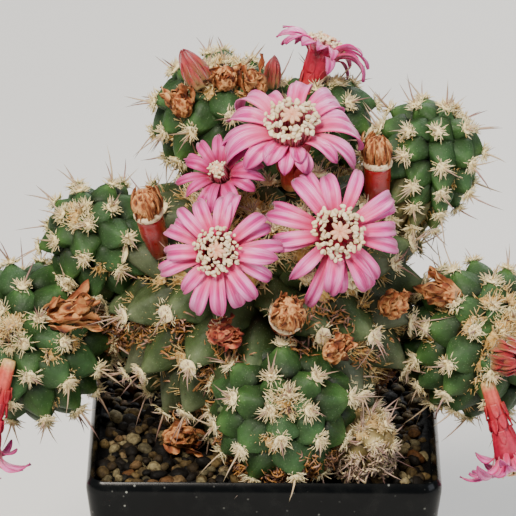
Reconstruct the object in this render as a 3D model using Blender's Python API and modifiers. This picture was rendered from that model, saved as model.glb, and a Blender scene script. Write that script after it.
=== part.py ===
"""A clump of round cactus in a square nursery pot, in flower.

Frame: +Z up, the flowers face -Y, the origin is the middle of the pot's underside.
Lengths are in millimetres here and become metres where a mesh is made.
"""

import math
from dataclasses import dataclass

import bmesh
import bpy
from mathutils import Matrix, Vector

MM = 0.001
NAME = "potted_round_cactus"

# Driving dimensions
GAP = 0.3
POT_TOP_WIDTH = 90.0
POT_BASE_WIDTH = 71.0
POT_HEIGHT = 80.0
POT_WALL = 1.2
POT_FLOOR = 1.6
POT_CORNER = 5.0
DRAIN_RADIUS = 4.0
DRAIN_OFFSET = 21.0
GRAVEL_TOP = 71.5
GRAVEL_DEPTH = 4.0
PEBBLE_HEIGHT = 1.7
PEBBLE_LEAST = 0.35
PEBBLE_WANDER = 2.5
PEBBLES_ACROSS = 14
NECK_BOTTOM = 62.0
NECK_TOP = 92.0
NECK_RADIUS = 17.0
NECK_TOP_RADIUS = 24.0
ROOT_TIP = 24.0
ROOT_TIP_RADIUS = 1.5
ROOT_RADIUS = 13.0

FINISHES = {
    "pot_plastic": ((0.012, 0.015, 0.017), 0.28),
    "potting_mix": ((0.030, 0.019, 0.012), 0.95),
    "gravel": ((0.270, 0.205, 0.130), 0.85),
    "root_bark": ((0.200, 0.125, 0.065), 0.90),
    "stem_skin": ((0.105, 0.205, 0.130), 0.50),
    "petal": ((0.780, 0.190, 0.420), 0.45),
    "floral_tube": ((0.560, 0.075, 0.090), 0.45),
    "anther": ((0.860, 0.740, 0.500), 0.70),
    "stigma": ((0.840, 0.440, 0.300), 0.55),
    "berry": ((0.400, 0.010, 0.015), 0.30),
    "dried_flower": ((0.380, 0.160, 0.050), 0.90),
}


@dataclass(frozen=True)
class Stem:
    """One head: a spheroid about its growing axis, which ends in the crown."""

    name: str
    centre: tuple
    crown: tuple
    radius: float
    half_height: float
    ribs: int
    rows: int
    relief: float


@dataclass(frozen=True)
class Flower:
    """An open flower on its tube. Cup is how far the petal tips stand above flat, in radii."""

    name: str
    seat: tuple
    facing: tuple
    tube: float
    radius: float
    cup: float


@dataclass(frozen=True)
class Growth:
    """A bud, fruit or dried flower: where it is rooted, where it points, its length and radius."""

    name: str
    seat: tuple
    facing: tuple
    length: float
    radius: float


STEMS = (
    Stem("stem_main", (0.5, 6.0, 109.4), (0.0, -0.62, 0.79), 40.5, 34.5, 17, 10, 5.0),
    Stem("stem_front", (4.4, -28.0, 92.1), (0.05, -0.87, 0.50), 18.5, 16.5, 11, 8, 2.8),
    Stem("stem_lower_left", (-59.5, 1.0, 97.0), (-0.35, -0.80, 0.48), 20.5, 19.0, 11, 8, 3.0),
    Stem("stem_upper_left", (-41.5, 5.0, 124.0), (-0.50, -0.46, 0.73), 15.0, 15.5, 10, 7, 2.6),
    Stem("stem_lower_right", (54.0, -1.0, 99.5), (0.50, -0.68, 0.54), 20.0, 20.0, 11, 8, 3.0),
    Stem("stem_upper_right", (38.9, 15.0, 141.0), (0.55, 0.30, 0.78), 14.5, 19.0, 10, 8, 2.6),
    Stem("stem_back_left", (-11.6, 27.0, 149.3), (0.0, -0.10, 1.0), 17.5, 17.5, 10, 8, 2.8),
    Stem("stem_back_right", (13.5, 33.0, 145.0), (0.10, 0.10, 1.0), 14.5, 14.5, 10, 7, 2.6),
    Stem("stem_offset", (25.0, -26.0, 83.0), (0.20, -0.40, 0.90), 8.0, 8.0, 8, 6, 1.5),
)

FLOWERS = (
    Flower("flower_front_left", (-9.9, -18.4, 128.5), (-0.10, -0.88, 0.47), 20.0, 15.0, 0.10),
    Flower("flower_front_right", (15.5, -12.3, 132.4), (0.12, -0.90, 0.42), 20.0, 17.0, 0.10),
    Flower("flower_top", (6.3, -0.2, 141.3), (0.0, -0.47, 0.88), 23.5, 18.0, 0.15),
    Flower("flower_crown", (-8.6, -3.6, 139.4), (-0.20, -0.68, 0.69), 16.0, 11.0, 0.42),
    Flower("flower_back", (9.0, 28.0, 153.5), (0.40, 0.30, 0.85), 15.0, 13.0, 0.45),
    Flower("flower_hanging_left", (-64.3, -16.5, 99.8), (-0.25, -0.20, -0.95), 26.0, 12.5, 0.55),
    Flower("flower_hanging_right", (56.0, -18.0, 95.5), (0.30, -0.25, -0.92), 22.0, 13.0, 0.55),
)

BUDS = (
    Growth("bud_back_left", (-15.6, 17.6, 160.5), (-0.50, 0.10, 0.85), 11.0, 3.6),
    Growth("bud_back_centre", (1.0, 22.5, 158.5), (0.10, 0.0, 1.0), 9.0, 2.4),
    Growth("bud_right", (59.0, -17.6, 102.5), (0.60, -0.75, 0.20), 9.0, 3.8),
)

FRUITS = (
    Growth("fruit_left", (-26.4, -10.5, 126.0), (-0.20, -0.30, 0.93), 14.0, 3.4),
    Growth("fruit_right", (28.0, 2.0, 133.0), (0.0, -0.10, 1.0), 14.0, 3.4),
    Growth("fruit_front", (4.4, -25.0, 113.5), (0.10, -0.80, 0.60), 9.0, 4.0),
)

REMNANTS = (
    Growth("dried_flower_1", (-49.9, -10.5, 110.5), (0.90, -0.10, 0.35), 13.0, 4.0),
    Growth("dried_flower_2", (44.5, -9.5, 116.0), (-0.95, -0.10, 0.25), 11.0, 3.8),
    Growth("dried_flower_3", (32.2, -18.0, 116.2), (0.20, -0.60, 0.80), 8.0, 4.4),
    Growth("dried_flower_4", (17.6, -30.5, 109.3), (0.50, -0.30, 0.60), 8.0, 3.6),
    Growth("dried_flower_5", (-11.0, -31.2, 113.7), (0.80, -0.40, 0.30), 8.0, 3.4),
    Growth("dried_flower_6", (-21.5, -13.0, 77.4), (0.90, -0.30, 0.20), 10.0, 3.8),
    Growth("dried_flower_7", (-21.6, 13.2, 157.8), (-0.30, -0.30, 0.90), 8.0, 3.6),
    Growth("dried_flower_8", (-3.2, 16.2, 162.0), (-0.40, -0.20, 0.90), 9.0, 3.2),
    Growth("dried_flower_9", (-10.4, 15.0, 164.0), (0.10, -0.30, 0.95), 7.0, 3.4),
)

# A stem's tubercles, as shares of a quad's width, of the full relief and of the half height
TUBERCLE_INSET = 0.24
CROWN_RELIEF = 0.35
GIRTH_RELIEF = 0.75
LOWEST_TUBERCLE = -0.75

# How a flower's parts are turned, for a petal radius of FLOWER_UNIT
FLOWER_UNIT = 17.0
PETALS = 14
TUBE_FOOT = 2.4
RIM_DROP = 2.6
THROAT_DEPTH = 10.5
NOTCH_REACH = 0.66
NOTCH_DROP = 0.30
NOTCH_FROM = 0.95

# How far dried tissue is crushed, as shares of its size
CAP_SQUEEZE = 0.22
REMNANT_CRUSH = 0.30
REMNANT_FLATNESS = 0.85

# Cutting allowances
SLIVER = 0.002
ENVELOPE_SLACK = 1.018
SOCKET_GAP = 1.5 * GAP


# Scene and materials


def clear_scene():
    """Removes every object, so that the model starts from nothing."""
    for obj in list(bpy.data.objects):
        bpy.data.objects.remove(obj, do_unlink=True)


def make_collection():
    """The collection that holds the parts."""
    collection = bpy.data.collections.new(NAME)
    bpy.context.scene.collection.children.link(collection)
    return collection


def finish_material(finish):
    """A Principled material for one finish, made once."""
    material = bpy.data.materials.get(finish)
    if material:
        return material
    colour, roughness = FINISHES[finish]
    material = bpy.data.materials.new(finish)
    material.use_nodes = True
    shader = material.node_tree.nodes["Principled BSDF"]
    shader.inputs["Base Color"].default_value = (*colour, 1.0)
    shader.inputs["Roughness"].default_value = roughness
    shader.inputs["Metallic"].default_value = 0.0
    material.diffuse_color = (*colour, 1.0)
    return material


# Mesh helpers


def placing(origin, facing):
    """The matrix that puts a piece's foot at origin and turns its +Z to facing."""
    turn = Vector(facing).normalized().to_track_quat("Z", "Y")
    return Matrix.Translation(Vector(origin) * MM) @ turn.to_matrix().to_4x4()


def add_object(name, mesh, finish, matrix):
    """Links a mesh as a named object with its finish."""
    obj = bpy.data.objects.new(name, mesh)
    obj.matrix_world = matrix
    mesh.materials.clear()
    mesh.materials.append(finish_material(finish))
    bpy.data.collections[NAME].objects.link(obj)
    return obj


def object_from(bm, name, finish, matrix):
    """Makes an object of a bmesh in millimetres."""
    bm.normal_update()
    bmesh.ops.recalc_face_normals(bm, faces=bm.faces)
    mesh = bpy.data.meshes.new(name)
    bmesh.ops.scale(bm, vec=(MM, MM, MM), verts=bm.verts)
    bm.to_mesh(mesh)
    bm.free()
    return add_object(name, mesh, finish, matrix)


def bake(obj):
    """Replaces an object's mesh by its evaluated one and drops its modifiers."""
    depsgraph = bpy.context.evaluated_depsgraph_get()
    mesh = bpy.data.meshes.new_from_object(obj.evaluated_get(depsgraph))
    obj.modifiers.clear()
    obj.data = mesh


def lathe(name, profile, steps, finish, matrix, ring=False):
    """Turns (radius, height) points about Z. The outer side of the profile runs top to bottom."""
    points = [(radius * MM, 0.0, height * MM) for radius, height in profile]
    edges = [(i, i + 1) for i in range(len(points) - 1)]
    if ring:
        edges.append((len(points) - 1, 0))
    mesh = bpy.data.meshes.new(name)
    mesh.from_pydata(points, edges, [])
    obj = add_object(name, mesh, finish, matrix)
    screw = obj.modifiers.new("turn", "SCREW")
    screw.steps = steps
    screw.render_steps = steps
    screw.use_merge_vertices = True
    screw.merge_threshold = 0.00001
    bake(obj)
    return obj


def boolean(obj, other, operation):
    """Cuts or joins obj by other and removes other."""
    modifier = obj.modifiers.new(operation.lower(), "BOOLEAN")
    modifier.solver = "EXACT"
    modifier.operation = operation
    modifier.object = other
    bake(obj)
    bpy.data.objects.remove(other, do_unlink=True)


def bodies_of(bm):
    """The vertices of each connected body, in a repeatable order."""
    bodies = []
    unseen = dict.fromkeys(bm.verts)
    while unseen:
        queue = [unseen.popitem()[0]]
        body = []
        while queue:
            vert = queue.pop()
            body.append(vert)
            for edge in vert.link_edges:
                other = edge.other_vert(vert)
                if other in unseen:
                    del unseen[other]
                    queue.append(other)
        bodies.append(body)
    return bodies


def tidy(obj):
    """Merges slivers that a cut leaves and keeps the largest body."""
    bm = bmesh.new()
    bm.from_mesh(obj.data)
    bmesh.ops.remove_doubles(bm, verts=bm.verts, dist=SLIVER * MM)
    bmesh.ops.triangulate(bm, faces=bm.faces)
    bmesh.ops.dissolve_degenerate(bm, edges=bm.edges, dist=SLIVER * MM)
    bodies = sorted(bodies_of(bm), key=len)
    for body in bodies[:-1]:
        bmesh.ops.delete(bm, geom=body, context="VERTS")
    bmesh.ops.triangulate(bm, faces=bm.faces)
    bm.to_mesh(obj.data)
    bm.free()


def box_of(obj):
    """The lowest and highest corner of an object in world space."""
    points = [obj.matrix_world @ vert.co for vert in obj.data.vertices]
    low = Vector([min(point[axis] for point in points) for axis in range(3)])
    high = Vector([max(point[axis] for point in points) for axis in range(3)])
    return low, high


def boxes_meet(first, second):
    """Whether two objects' boxes come within a gap of each other."""
    first_low, first_high = box_of(first)
    second_low, second_high = box_of(second)
    margin = GAP * MM
    return all(
        first_low[axis] - margin < second_high[axis] and second_low[axis] - margin < first_high[axis]
        for axis in range(3)
    )


def carve(obj, cutters):
    """Cuts obj by each cutter that reaches it."""
    cut = False
    for make_cutter in cutters:
        cutter = make_cutter()
        if boxes_meet(obj, cutter):
            boolean(obj, cutter, "DIFFERENCE")
            cut = True
        else:
            bpy.data.objects.remove(cutter, do_unlink=True)
    if cut:
        tidy(obj)


def scatter(index):
    """A repeatable number from 0 to 1 for an index."""
    return math.modf(abs(math.sin(index * 12.9898 + 4.1) * 43758.5453))[0]


# Pot, potting mix, gravel and root


def pot_half_width(height):
    """Half the pot's outer width at a height above its base."""
    share = height / POT_HEIGHT
    return 0.5 * (POT_BASE_WIDTH + (POT_TOP_WIDTH - POT_BASE_WIDTH) * share)


def tapered_block(name, bottom, top, inset, finish):
    """A square block with rounded corners that follows the pot's taper, inset from its outside."""
    bm = bmesh.new()
    bmesh.ops.create_cube(bm, size=2.0)
    for vert in bm.verts:
        height = top if vert.co.z > 0 else bottom
        half = pot_half_width(height) - inset
        vert.co = Vector((math.copysign(half, vert.co.x), math.copysign(half, vert.co.y), height))
    least = 0.5 * (top - bottom)
    uprights = [edge for edge in bm.edges if abs(edge.verts[0].co.z - edge.verts[1].co.z) > least]
    bmesh.ops.bevel(bm, geom=uprights, offset=POT_CORNER - inset, segments=4, profile=0.5, affect="EDGES")
    return object_from(bm, name, finish, Matrix())


def cylinder(name, place, heights, radii, segments, finish):
    """An upright cone or cylinder at an x and y, between two heights, with a radius at each."""
    bottom, top = heights
    bm = bmesh.new()
    bmesh.ops.create_cone(
        bm,
        cap_ends=True,
        segments=segments,
        radius1=radii[0],
        radius2=radii[1],
        depth=top - bottom,
    )
    return object_from(bm, name, finish, placing((*place, 0.5 * (top + bottom)), (0, 0, 1)))


def build_pot():
    """The thin-walled pot with four drainage holes round the middle of its floor."""
    pot = tapered_block("pot", 0.0, POT_HEIGHT, 0.0, "pot_plastic")
    hollow = tapered_block("hollow", POT_FLOOR, POT_HEIGHT + 1.0, POT_WALL, "pot_plastic")
    boolean(pot, hollow, "DIFFERENCE")
    for side_x in (-1, 1):
        for side_y in (-1, 1):
            place = (side_x * DRAIN_OFFSET, side_y * DRAIN_OFFSET)
            heights = (-1.0, POT_FLOOR + 1.0)
            drill = cylinder("drill", place, heights, (DRAIN_RADIUS, DRAIN_RADIUS), 16, "pot_plastic")
            boolean(pot, drill, "DIFFERENCE")
    tidy(pot)


def neck(extra=0.0):
    """The main head's foot, which goes down through the gravel into the mix."""
    radii = (NECK_RADIUS + extra, NECK_TOP_RADIUS + extra)
    return cylinder("neck", STEMS[0].centre[:2], (NECK_BOTTOM - extra, NECK_TOP), radii, 18, "stem_skin")


def root(name, extra=0.0):
    """The taproot, a long cone under the neck."""
    heights = (ROOT_TIP - extra, NECK_BOTTOM - GAP + extra)
    radii = (ROOT_TIP_RADIUS + extra, ROOT_RADIUS + extra)
    return cylinder(name, STEMS[0].centre[:2], heights, radii, 14, "root_bark")


def build_potting_mix():
    """The mix that fills the pot below the gravel, open above the root."""
    top = GRAVEL_TOP - GRAVEL_DEPTH - GAP
    mix = tapered_block("potting_mix", POT_FLOOR + GAP, top, POT_WALL + GAP, "potting_mix")
    carve(mix, [lambda: neck(GAP), lambda: root("root_cut", 2 * GAP)])


def build_gravel():
    """The gravel dressing: a slab with a pebbled top, trimmed to the pot's inside."""
    bm = bmesh.new()
    half = pot_half_width(GRAVEL_TOP)
    bmesh.ops.create_grid(bm, x_segments=PEBBLES_ACROSS, y_segments=PEBBLES_ACROSS, size=half)
    bmesh.ops.translate(bm, vec=(0, 0, GRAVEL_TOP), verts=bm.verts)
    pebbles = list(bm.faces)
    slab = bmesh.ops.extrude_face_region(bm, geom=list(bm.faces))
    lowered = [item for item in slab["geom"] if isinstance(item, bmesh.types.BMVert)]
    bmesh.ops.translate(bm, vec=(0, 0, -2 * GRAVEL_DEPTH), verts=lowered)
    for index, pebble in enumerate(pebbles):
        rise = PEBBLE_HEIGHT * (PEBBLE_LEAST + (1.0 - PEBBLE_LEAST) * scatter(index))
        along = (scatter(index + 500) - 0.5) * PEBBLE_WANDER
        across = (scatter(index + 900) - 0.5) * PEBBLE_WANDER
        poked = bmesh.ops.poke(bm, faces=[pebble], offset=0.0)
        bmesh.ops.translate(bm, vec=(along, across, rise), verts=poked["verts"])
    gravel = object_from(bm, "gravel_dressing", "gravel", Matrix())
    bounds = tapered_block("bounds", GRAVEL_TOP - GRAVEL_DEPTH, POT_HEIGHT, POT_WALL + GAP, "gravel")
    boolean(gravel, bounds, "INTERSECT")
    cutters = [lambda stem=stem: stem_envelope(stem) for stem in STEMS]
    carve(gravel, [lambda: neck(GAP)] + cutters)


# Stems


def stem_place(stem):
    """Where a stem's spheroid stands."""
    return placing(stem.centre, stem.crown)


def stem_envelope(stem):
    """A smooth spheroid just outside the stem's tubercles, to cut its neighbours by."""
    bm = bmesh.new()
    bmesh.ops.create_uvsphere(bm, u_segments=24, v_segments=14, radius=1.0)
    wide = (stem.radius + GAP) * ENVELOPE_SLACK
    tall = (stem.half_height + GAP) * ENVELOPE_SLACK
    bmesh.ops.scale(bm, vec=(wide, wide, tall), verts=bm.verts)
    return object_from(bm, "envelope", "stem_skin", stem_place(stem))


def raise_tubercles(bm, stem, core_height):
    """Raises each quad of the spheroid into a blunt tubercle, low at the crown and full at the girth."""
    bm.normal_update()
    rings = {}
    for face in bm.faces:
        if len(face.verts) == 4:
            level = face.calc_center_median().z / core_height
            if level > LOWEST_TUBERCLE:
                rings.setdefault(round(level, 3), []).append(face)
    for level, faces in rings.items():
        girth = math.sqrt(max(0.0, 1.0 - level * level))
        width = math.sqrt(sum(face.calc_area() for face in faces) / len(faces))
        bmesh.ops.inset_individual(
            bm,
            faces=faces,
            thickness=TUBERCLE_INSET * width,
            depth=stem.relief * min(1.0, CROWN_RELIEF + GIRTH_RELIEF * girth),
            use_even_offset=True,
        )
        bm.normal_update()


def build_stem(stem, cutters):
    """A head with its tubercles in spiral rows."""
    bm = bmesh.new()
    bmesh.ops.create_uvsphere(bm, u_segments=stem.ribs, v_segments=stem.rows, radius=1.0)
    core_radius = stem.radius - stem.relief
    core_height = stem.half_height - stem.relief
    for vert in bm.verts:
        row = stem.rows * math.acos(max(-1.0, min(1.0, vert.co.z))) / math.pi
        vert.co = Matrix.Rotation(round(row) * math.pi / stem.ribs, 3, "Z") @ vert.co
        vert.co = Vector((vert.co.x * core_radius, vert.co.y * core_radius, vert.co.z * core_height))
    raise_tubercles(bm, stem, core_height)
    obj = object_from(bm, stem.name, "stem_skin", stem_place(stem))
    if stem.name == "stem_main":
        boolean(obj, neck(), "UNION")
        tidy(obj)
    carve(obj, cutters)


def build_stems():
    """All heads, each cut clear of the ones before it and of what is rooted in it."""
    rooted = rooted_cutters()
    for index, stem in enumerate(STEMS):
        earlier = [lambda other=other: stem_envelope(other) for other in STEMS[:index]]
        build_stem(stem, earlier + rooted)


# Flowers, buds, fruits and dried flowers


def tube_profile(flower, extra=0.0):
    """The outside of a floral tube, from its rim down to its foot, with heights from the foot."""
    scale = flower.radius / FLOWER_UNIT
    rim = flower.tube - RIM_DROP * scale
    foot = TUBE_FOOT * scale + extra
    return [
        (5.0 * scale + extra, rim),
        (4.3 * scale + extra, rim - 5.0 * scale),
        (2.8 * scale + extra, rim - 10.0 * scale),
        (foot, -extra),
        (0.0, -extra),
    ]


def build_flower(flower):
    """A flower's tube, petals, stamens and pistil."""
    place = placing(flower.seat, flower.facing)
    scale = flower.radius / FLOWER_UNIT
    outer = tube_profile(flower)
    rim = outer[0][1]
    floor = rim - THROAT_DEPTH * scale
    inner = [
        (0.0, floor),
        (1.5 * scale, floor + 0.5),
        (3.4 * scale, rim - 5.0 * scale),
        (4.3 * scale, rim),
    ]
    lathe(flower.name + "_tube", inner + outer, 10, "floral_tube", place)
    build_petals(flower, place, scale, rim + GAP)
    stamens = [
        (4.9 * scale, rim + 4.6 * scale),
        (3.5 * scale, rim),
        (2.4 * scale, rim - 5.0 * scale),
        (1.3 * scale, rim - 5.0 * scale),
        (1.5 * scale, rim),
        (3.3 * scale, rim + 4.8 * scale),
    ]
    lathe(flower.name + "_stamens", stamens, 14, "anther", place, ring=True)
    top = rim + 6.0 * scale
    pistil = [
        (0.0, top),
        (1.7 * scale, top - 0.4 * scale),
        (0.5 * scale, top - 1.4 * scale),
        (0.45 * scale, floor + GAP),
        (0.0, floor + GAP),
    ]
    lathe(flower.name + "_pistil", pistil, 8, "stigma", place)


def build_petals(flower, place, scale, base):
    """One shallow funnel, notched between the petals."""
    radius = flower.radius
    lift = flower.cup * radius
    section = [
        (radius, base + 1.6 * scale + lift),
        (radius, base + 0.9 * scale + lift),
        (0.56 * radius, base + 1.3 * scale + 0.45 * lift),
        (5.0 * scale, base),
        (4.4 * scale, base + 0.5),
        (0.54 * radius, base + 2.3 * scale + 0.50 * lift),
    ]
    obj = lathe(flower.name + "_petals", section, 2 * PETALS, "petal", place, ring=True)
    tip = NOTCH_FROM * radius * MM
    for vert in obj.data.vertices:
        step = round(math.atan2(vert.co.y, vert.co.x) * PETALS / math.pi)
        reach = math.hypot(vert.co.x, vert.co.y)
        if step % 2 and reach > tip:
            vert.co.x *= NOTCH_REACH
            vert.co.y *= NOTCH_REACH
            vert.co.z -= NOTCH_DROP * lift * MM


def build_bud(bud):
    """A closed, pointed bud."""
    length = bud.length
    radius = bud.radius
    profile = [
        (0.0, length),
        (0.40 * radius, 0.80 * length),
        (radius, 0.42 * length),
        (0.80 * radius, 0.12 * length),
        (0.0, 0.0),
    ]
    lathe(bud.name, profile, 10, "floral_tube", placing(bud.seat, bud.facing))


def crumple(obj, amount):
    """Pushes each corner in or out by a repeatable share of its distance from the middle."""
    middle = sum((vert.co for vert in obj.data.vertices), Vector()) / len(obj.data.vertices)
    for index, vert in enumerate(obj.data.vertices):
        vert.co = middle + (vert.co - middle) * (1.0 - amount * scatter(index + 3))


def build_fruit(fruit):
    """A club-shaped berry with the dried flower still on its end."""
    place = placing(fruit.seat, fruit.facing)
    length = fruit.length
    radius = fruit.radius
    berry = [
        (0.0, length),
        (0.80 * radius, length),
        (radius, 0.80 * length),
        (0.95 * radius, 0.45 * length),
        (0.50 * radius, 0.0),
        (0.0, 0.0),
    ]
    lathe(fruit.name + "_berry", berry, 12, "berry", place)
    start = length + GAP
    cap = [
        (0.0, start + 2.1 * radius),
        (0.60 * radius, start + 2.0 * radius),
        (1.10 * radius, start + 1.2 * radius),
        (0.95 * radius, start),
        (0.0, start),
    ]
    cap_obj = lathe(fruit.name + "_cap", cap, 12, "dried_flower", place)
    for index, vert in enumerate(cap_obj.data.vertices):
        if vert.co.z > (start + 0.5 * radius) * MM:
            squeeze = 1.0 - CAP_SQUEEZE * scatter(index)
            vert.co.x *= squeeze
            vert.co.y *= squeeze


def remnant_solid(name, remnant, extra=0.0):
    """A withered flower lying against the stem, its middle at the seat."""
    bm = bmesh.new()
    bmesh.ops.create_icosphere(bm, subdivisions=2, radius=1.0)
    wide = remnant.radius + extra
    half = 0.5 * remnant.length + extra
    bmesh.ops.scale(bm, vec=(wide, REMNANT_FLATNESS * wide, half), verts=bm.verts)
    return object_from(bm, name, "dried_flower", placing(remnant.seat, remnant.facing))


def rooted_cutters():
    """A slightly larger copy of everything that is rooted in a stem, to cut its socket."""
    cutters = []
    for flower in FLOWERS:
        place = placing(flower.seat, flower.facing)
        wall = tube_profile(flower, GAP)
        outline = [(0.0, wall[0][1])] + wall
        cutters.append(
            lambda outline=outline, place=place: lathe("socket", outline, 12, "stem_skin", place)
        )
    for growth in BUDS + FRUITS:
        cutters.append(lambda growth=growth: socket(growth))
    for remnant in REMNANTS:
        cutters.append(lambda remnant=remnant: remnant_solid("socket", remnant, SOCKET_GAP))
    return cutters


def socket(growth):
    """A round-ended socket for a bud or a berry."""
    wide = growth.radius + SOCKET_GAP
    profile = [
        (0.0, growth.length + 1.0),
        (wide, growth.length),
        (wide, 0.10 * growth.length),
        (0.85 * wide, -SOCKET_GAP),
        (0.0, -SOCKET_GAP),
    ]
    return lathe("socket", profile, 12, "stem_skin", placing(growth.seat, growth.facing))


def main():
    """Builds every piece."""
    clear_scene()
    make_collection()
    build_pot()
    build_potting_mix()
    root("taproot")
    build_gravel()
    build_stems()
    for flower in FLOWERS:
        build_flower(flower)
    for bud in BUDS:
        build_bud(bud)
    for fruit in FRUITS:
        build_fruit(fruit)
    for remnant in REMNANTS:
        crumple(remnant_solid(remnant.name, remnant), REMNANT_CRUSH)


main()
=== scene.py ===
"""Looks of a clump of round cactus in flower, in its square nursery pot.

Lengths are in millimetres until a mesh is made, where MM turns them into metres.
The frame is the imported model's: +Z is up, the large flowers face -Y, and the origin
is the middle of the pot's underside.
"""

import logging
import math
from collections.abc import Callable
from dataclasses import dataclass, field
from enum import Enum

import bpy
import numpy as np
from mathutils import Matrix, Vector, noise


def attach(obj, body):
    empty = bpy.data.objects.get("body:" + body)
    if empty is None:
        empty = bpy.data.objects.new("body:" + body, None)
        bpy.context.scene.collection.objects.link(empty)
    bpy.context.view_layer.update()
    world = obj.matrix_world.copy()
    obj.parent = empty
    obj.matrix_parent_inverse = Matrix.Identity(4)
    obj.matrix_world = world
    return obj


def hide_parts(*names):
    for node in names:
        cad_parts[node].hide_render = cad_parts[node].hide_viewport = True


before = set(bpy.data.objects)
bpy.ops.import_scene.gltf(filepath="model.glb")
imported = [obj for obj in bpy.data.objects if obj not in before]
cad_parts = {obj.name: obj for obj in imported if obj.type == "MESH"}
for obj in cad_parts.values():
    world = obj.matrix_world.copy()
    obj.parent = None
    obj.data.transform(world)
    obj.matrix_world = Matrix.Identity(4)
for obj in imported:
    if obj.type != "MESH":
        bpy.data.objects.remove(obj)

LOG = logging.getLogger("cactus")
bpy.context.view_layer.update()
MM = 0.001
GOLDEN_ANGLE = math.pi * (3.0 - math.sqrt(5.0))
ROOT = "root"


# ---------------------------------------------------------------- shapes


@dataclass
class Shape:
    """A mesh as plain arrays in millimetres, ready to be bent, copied and joined.

    Attributes:
        points: One row of x, y, z for each vertex.
        loops: The vertex of each face corner, face after face.
        counts: How many corners each face has.
        values: Named numbers, one for each vertex, which the finishes read.
    """

    points: np.ndarray
    loops: np.ndarray
    counts: np.ndarray
    values: dict[str, np.ndarray] = field(default_factory=dict)

    @classmethod
    def take(cls, obj: bpy.types.Object) -> "Shape":
        """Reads an object's mesh, modifiers applied, and removes the object.

        Args:
            obj: The modelled object, whose own units are millimetres.

        Returns:
            Its shape.
        """
        mesh = obj.data
        points = np.empty(len(mesh.vertices) * 3)
        mesh.vertices.foreach_get("co", points)
        loops = np.empty(len(mesh.loops), dtype=np.int64)
        mesh.loops.foreach_get("vertex_index", loops)
        counts = np.empty(len(mesh.polygons), dtype=np.int64)
        mesh.polygons.foreach_get("loop_total", counts)
        bpy.data.objects.remove(obj, do_unlink=True)
        return cls(points.reshape(-1, 3), loops, counts)

    def moved(self, matrix: np.ndarray) -> "Shape":
        """A copy under a 4 by 4 matrix."""
        points = self.points @ matrix[:3, :3].T + matrix[:3, 3]
        return Shape(points, self.loops, self.counts, dict(self.values))

    def copied(self, places: np.ndarray, **each: np.ndarray) -> "Shape":
        """Joins one copy for each place.

        Args:
            places: Matrices, as an array of n by 4 by 4.
            **each: Named numbers, one for each copy.

        Returns:
            The joined copies.
        """
        amount = len(places)
        size = len(self.points)
        points = np.einsum("kij,nj->kni", places[:, :3, :3], self.points) + places[:, None, :3, 3]
        loops = (self.loops[None, :] + size * np.arange(amount)[:, None]).ravel()
        values = {name: np.tile(numbers, amount) for name, numbers in self.values.items()}
        for name, numbers in each.items():
            values[name] = np.repeat(numbers, size)
        return Shape(points.reshape(-1, 3), loops, np.tile(self.counts, amount), values)

    @staticmethod
    def joined(shapes: list["Shape"]) -> "Shape":
        """Joins shapes into one, with 0 for a value that one of them lacks.

        Args:
            shapes: The shapes, in the order that their vertices take.

        Returns:
            One shape.
        """
        names = sorted({name for shape in shapes for name in shape.values})
        starts = np.cumsum([0] + [len(shape.points) for shape in shapes])
        values = {
            name: np.concatenate([shape.values.get(name, np.zeros(len(shape.points))) for shape in shapes])
            for name in names
        }
        return Shape(
            np.concatenate([shape.points for shape in shapes]),
            np.concatenate([shape.loops + start for shape, start in zip(shapes, starts)]),
            np.concatenate([shape.counts for shape in shapes]),
            values,
        )


def deselect() -> None:
    """Leaves nothing selected and no object in edit mode."""
    if bpy.context.object and bpy.context.object.mode != "OBJECT":
        bpy.ops.object.mode_set(mode="OBJECT")
    bpy.ops.object.select_all(action="DESELECT")


def added(add: Callable[..., object], **settings: object) -> bpy.types.Object:
    """Adds a primitive with nothing else selected and applies its size.

    Args:
        add: The operator that adds it.
        **settings: The operator's settings.

    Returns:
        The new object.
    """
    deselect()
    add(**settings)
    bpy.ops.object.transform_apply(location=True, rotation=True, scale=True)
    return bpy.context.object


def with_modifier(obj: bpy.types.Object, kind: str, **settings: object) -> bpy.types.Object:
    """Adds a modifier to an object and applies it.

    Args:
        obj: The object.
        kind: The modifier's type.
        **settings: Its settings.

    Returns:
        The same object.
    """
    deselect()
    obj.select_set(True)
    bpy.context.view_layer.objects.active = obj
    modifier = obj.modifiers.new(kind.title(), kind)
    for name, value in settings.items():
        setattr(modifier, name, value)
    bpy.ops.object.modifier_apply(modifier=modifier.name)
    return obj


def piece(
    name: str, shape: Shape, finish: "Finish", nodes: tuple[str, ...] = (), smooth: bool = True
) -> bpy.types.Object:
    """Makes a shape a finished piece that rides on the pot.

    Args:
        name: The piece's name.
        shape: Its shape in millimetres, in the model's frame.
        finish: What its surface is.
        nodes: The solids that it stands for.
        smooth: Whether its faces are shaded as one curved surface.

    Returns:
        The new object.
    """
    mesh = bpy.data.meshes.new(name)
    mesh.vertices.add(len(shape.points))
    mesh.vertices.foreach_set("co", (shape.points * MM).ravel())
    mesh.loops.add(len(shape.loops))
    mesh.polygons.add(len(shape.counts))
    starts = np.concatenate([[0], np.cumsum(shape.counts)[:-1]])
    mesh.polygons.foreach_set("loop_start", starts.astype(np.int32))
    mesh.polygons.foreach_set("vertices", shape.loops.astype(np.int32))
    mesh.update(calc_edges=True)
    mesh.validate()
    mesh.polygons.foreach_set("use_smooth", np.full(len(mesh.polygons), smooth))
    for value, numbers in shape.values.items():
        attribute = mesh.attributes.new(value, "FLOAT", "POINT")
        attribute.data.foreach_set("value", numbers.astype(np.float32))
    obj = bpy.data.objects.new(name, mesh)
    bpy.context.scene.collection.objects.link(obj)
    mesh.materials.append(finish.material())
    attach(obj, ROOT)
    if nodes:
        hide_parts(*nodes)
    LOG.info("%s: %d faces", name, len(mesh.polygons))
    return obj


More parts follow.
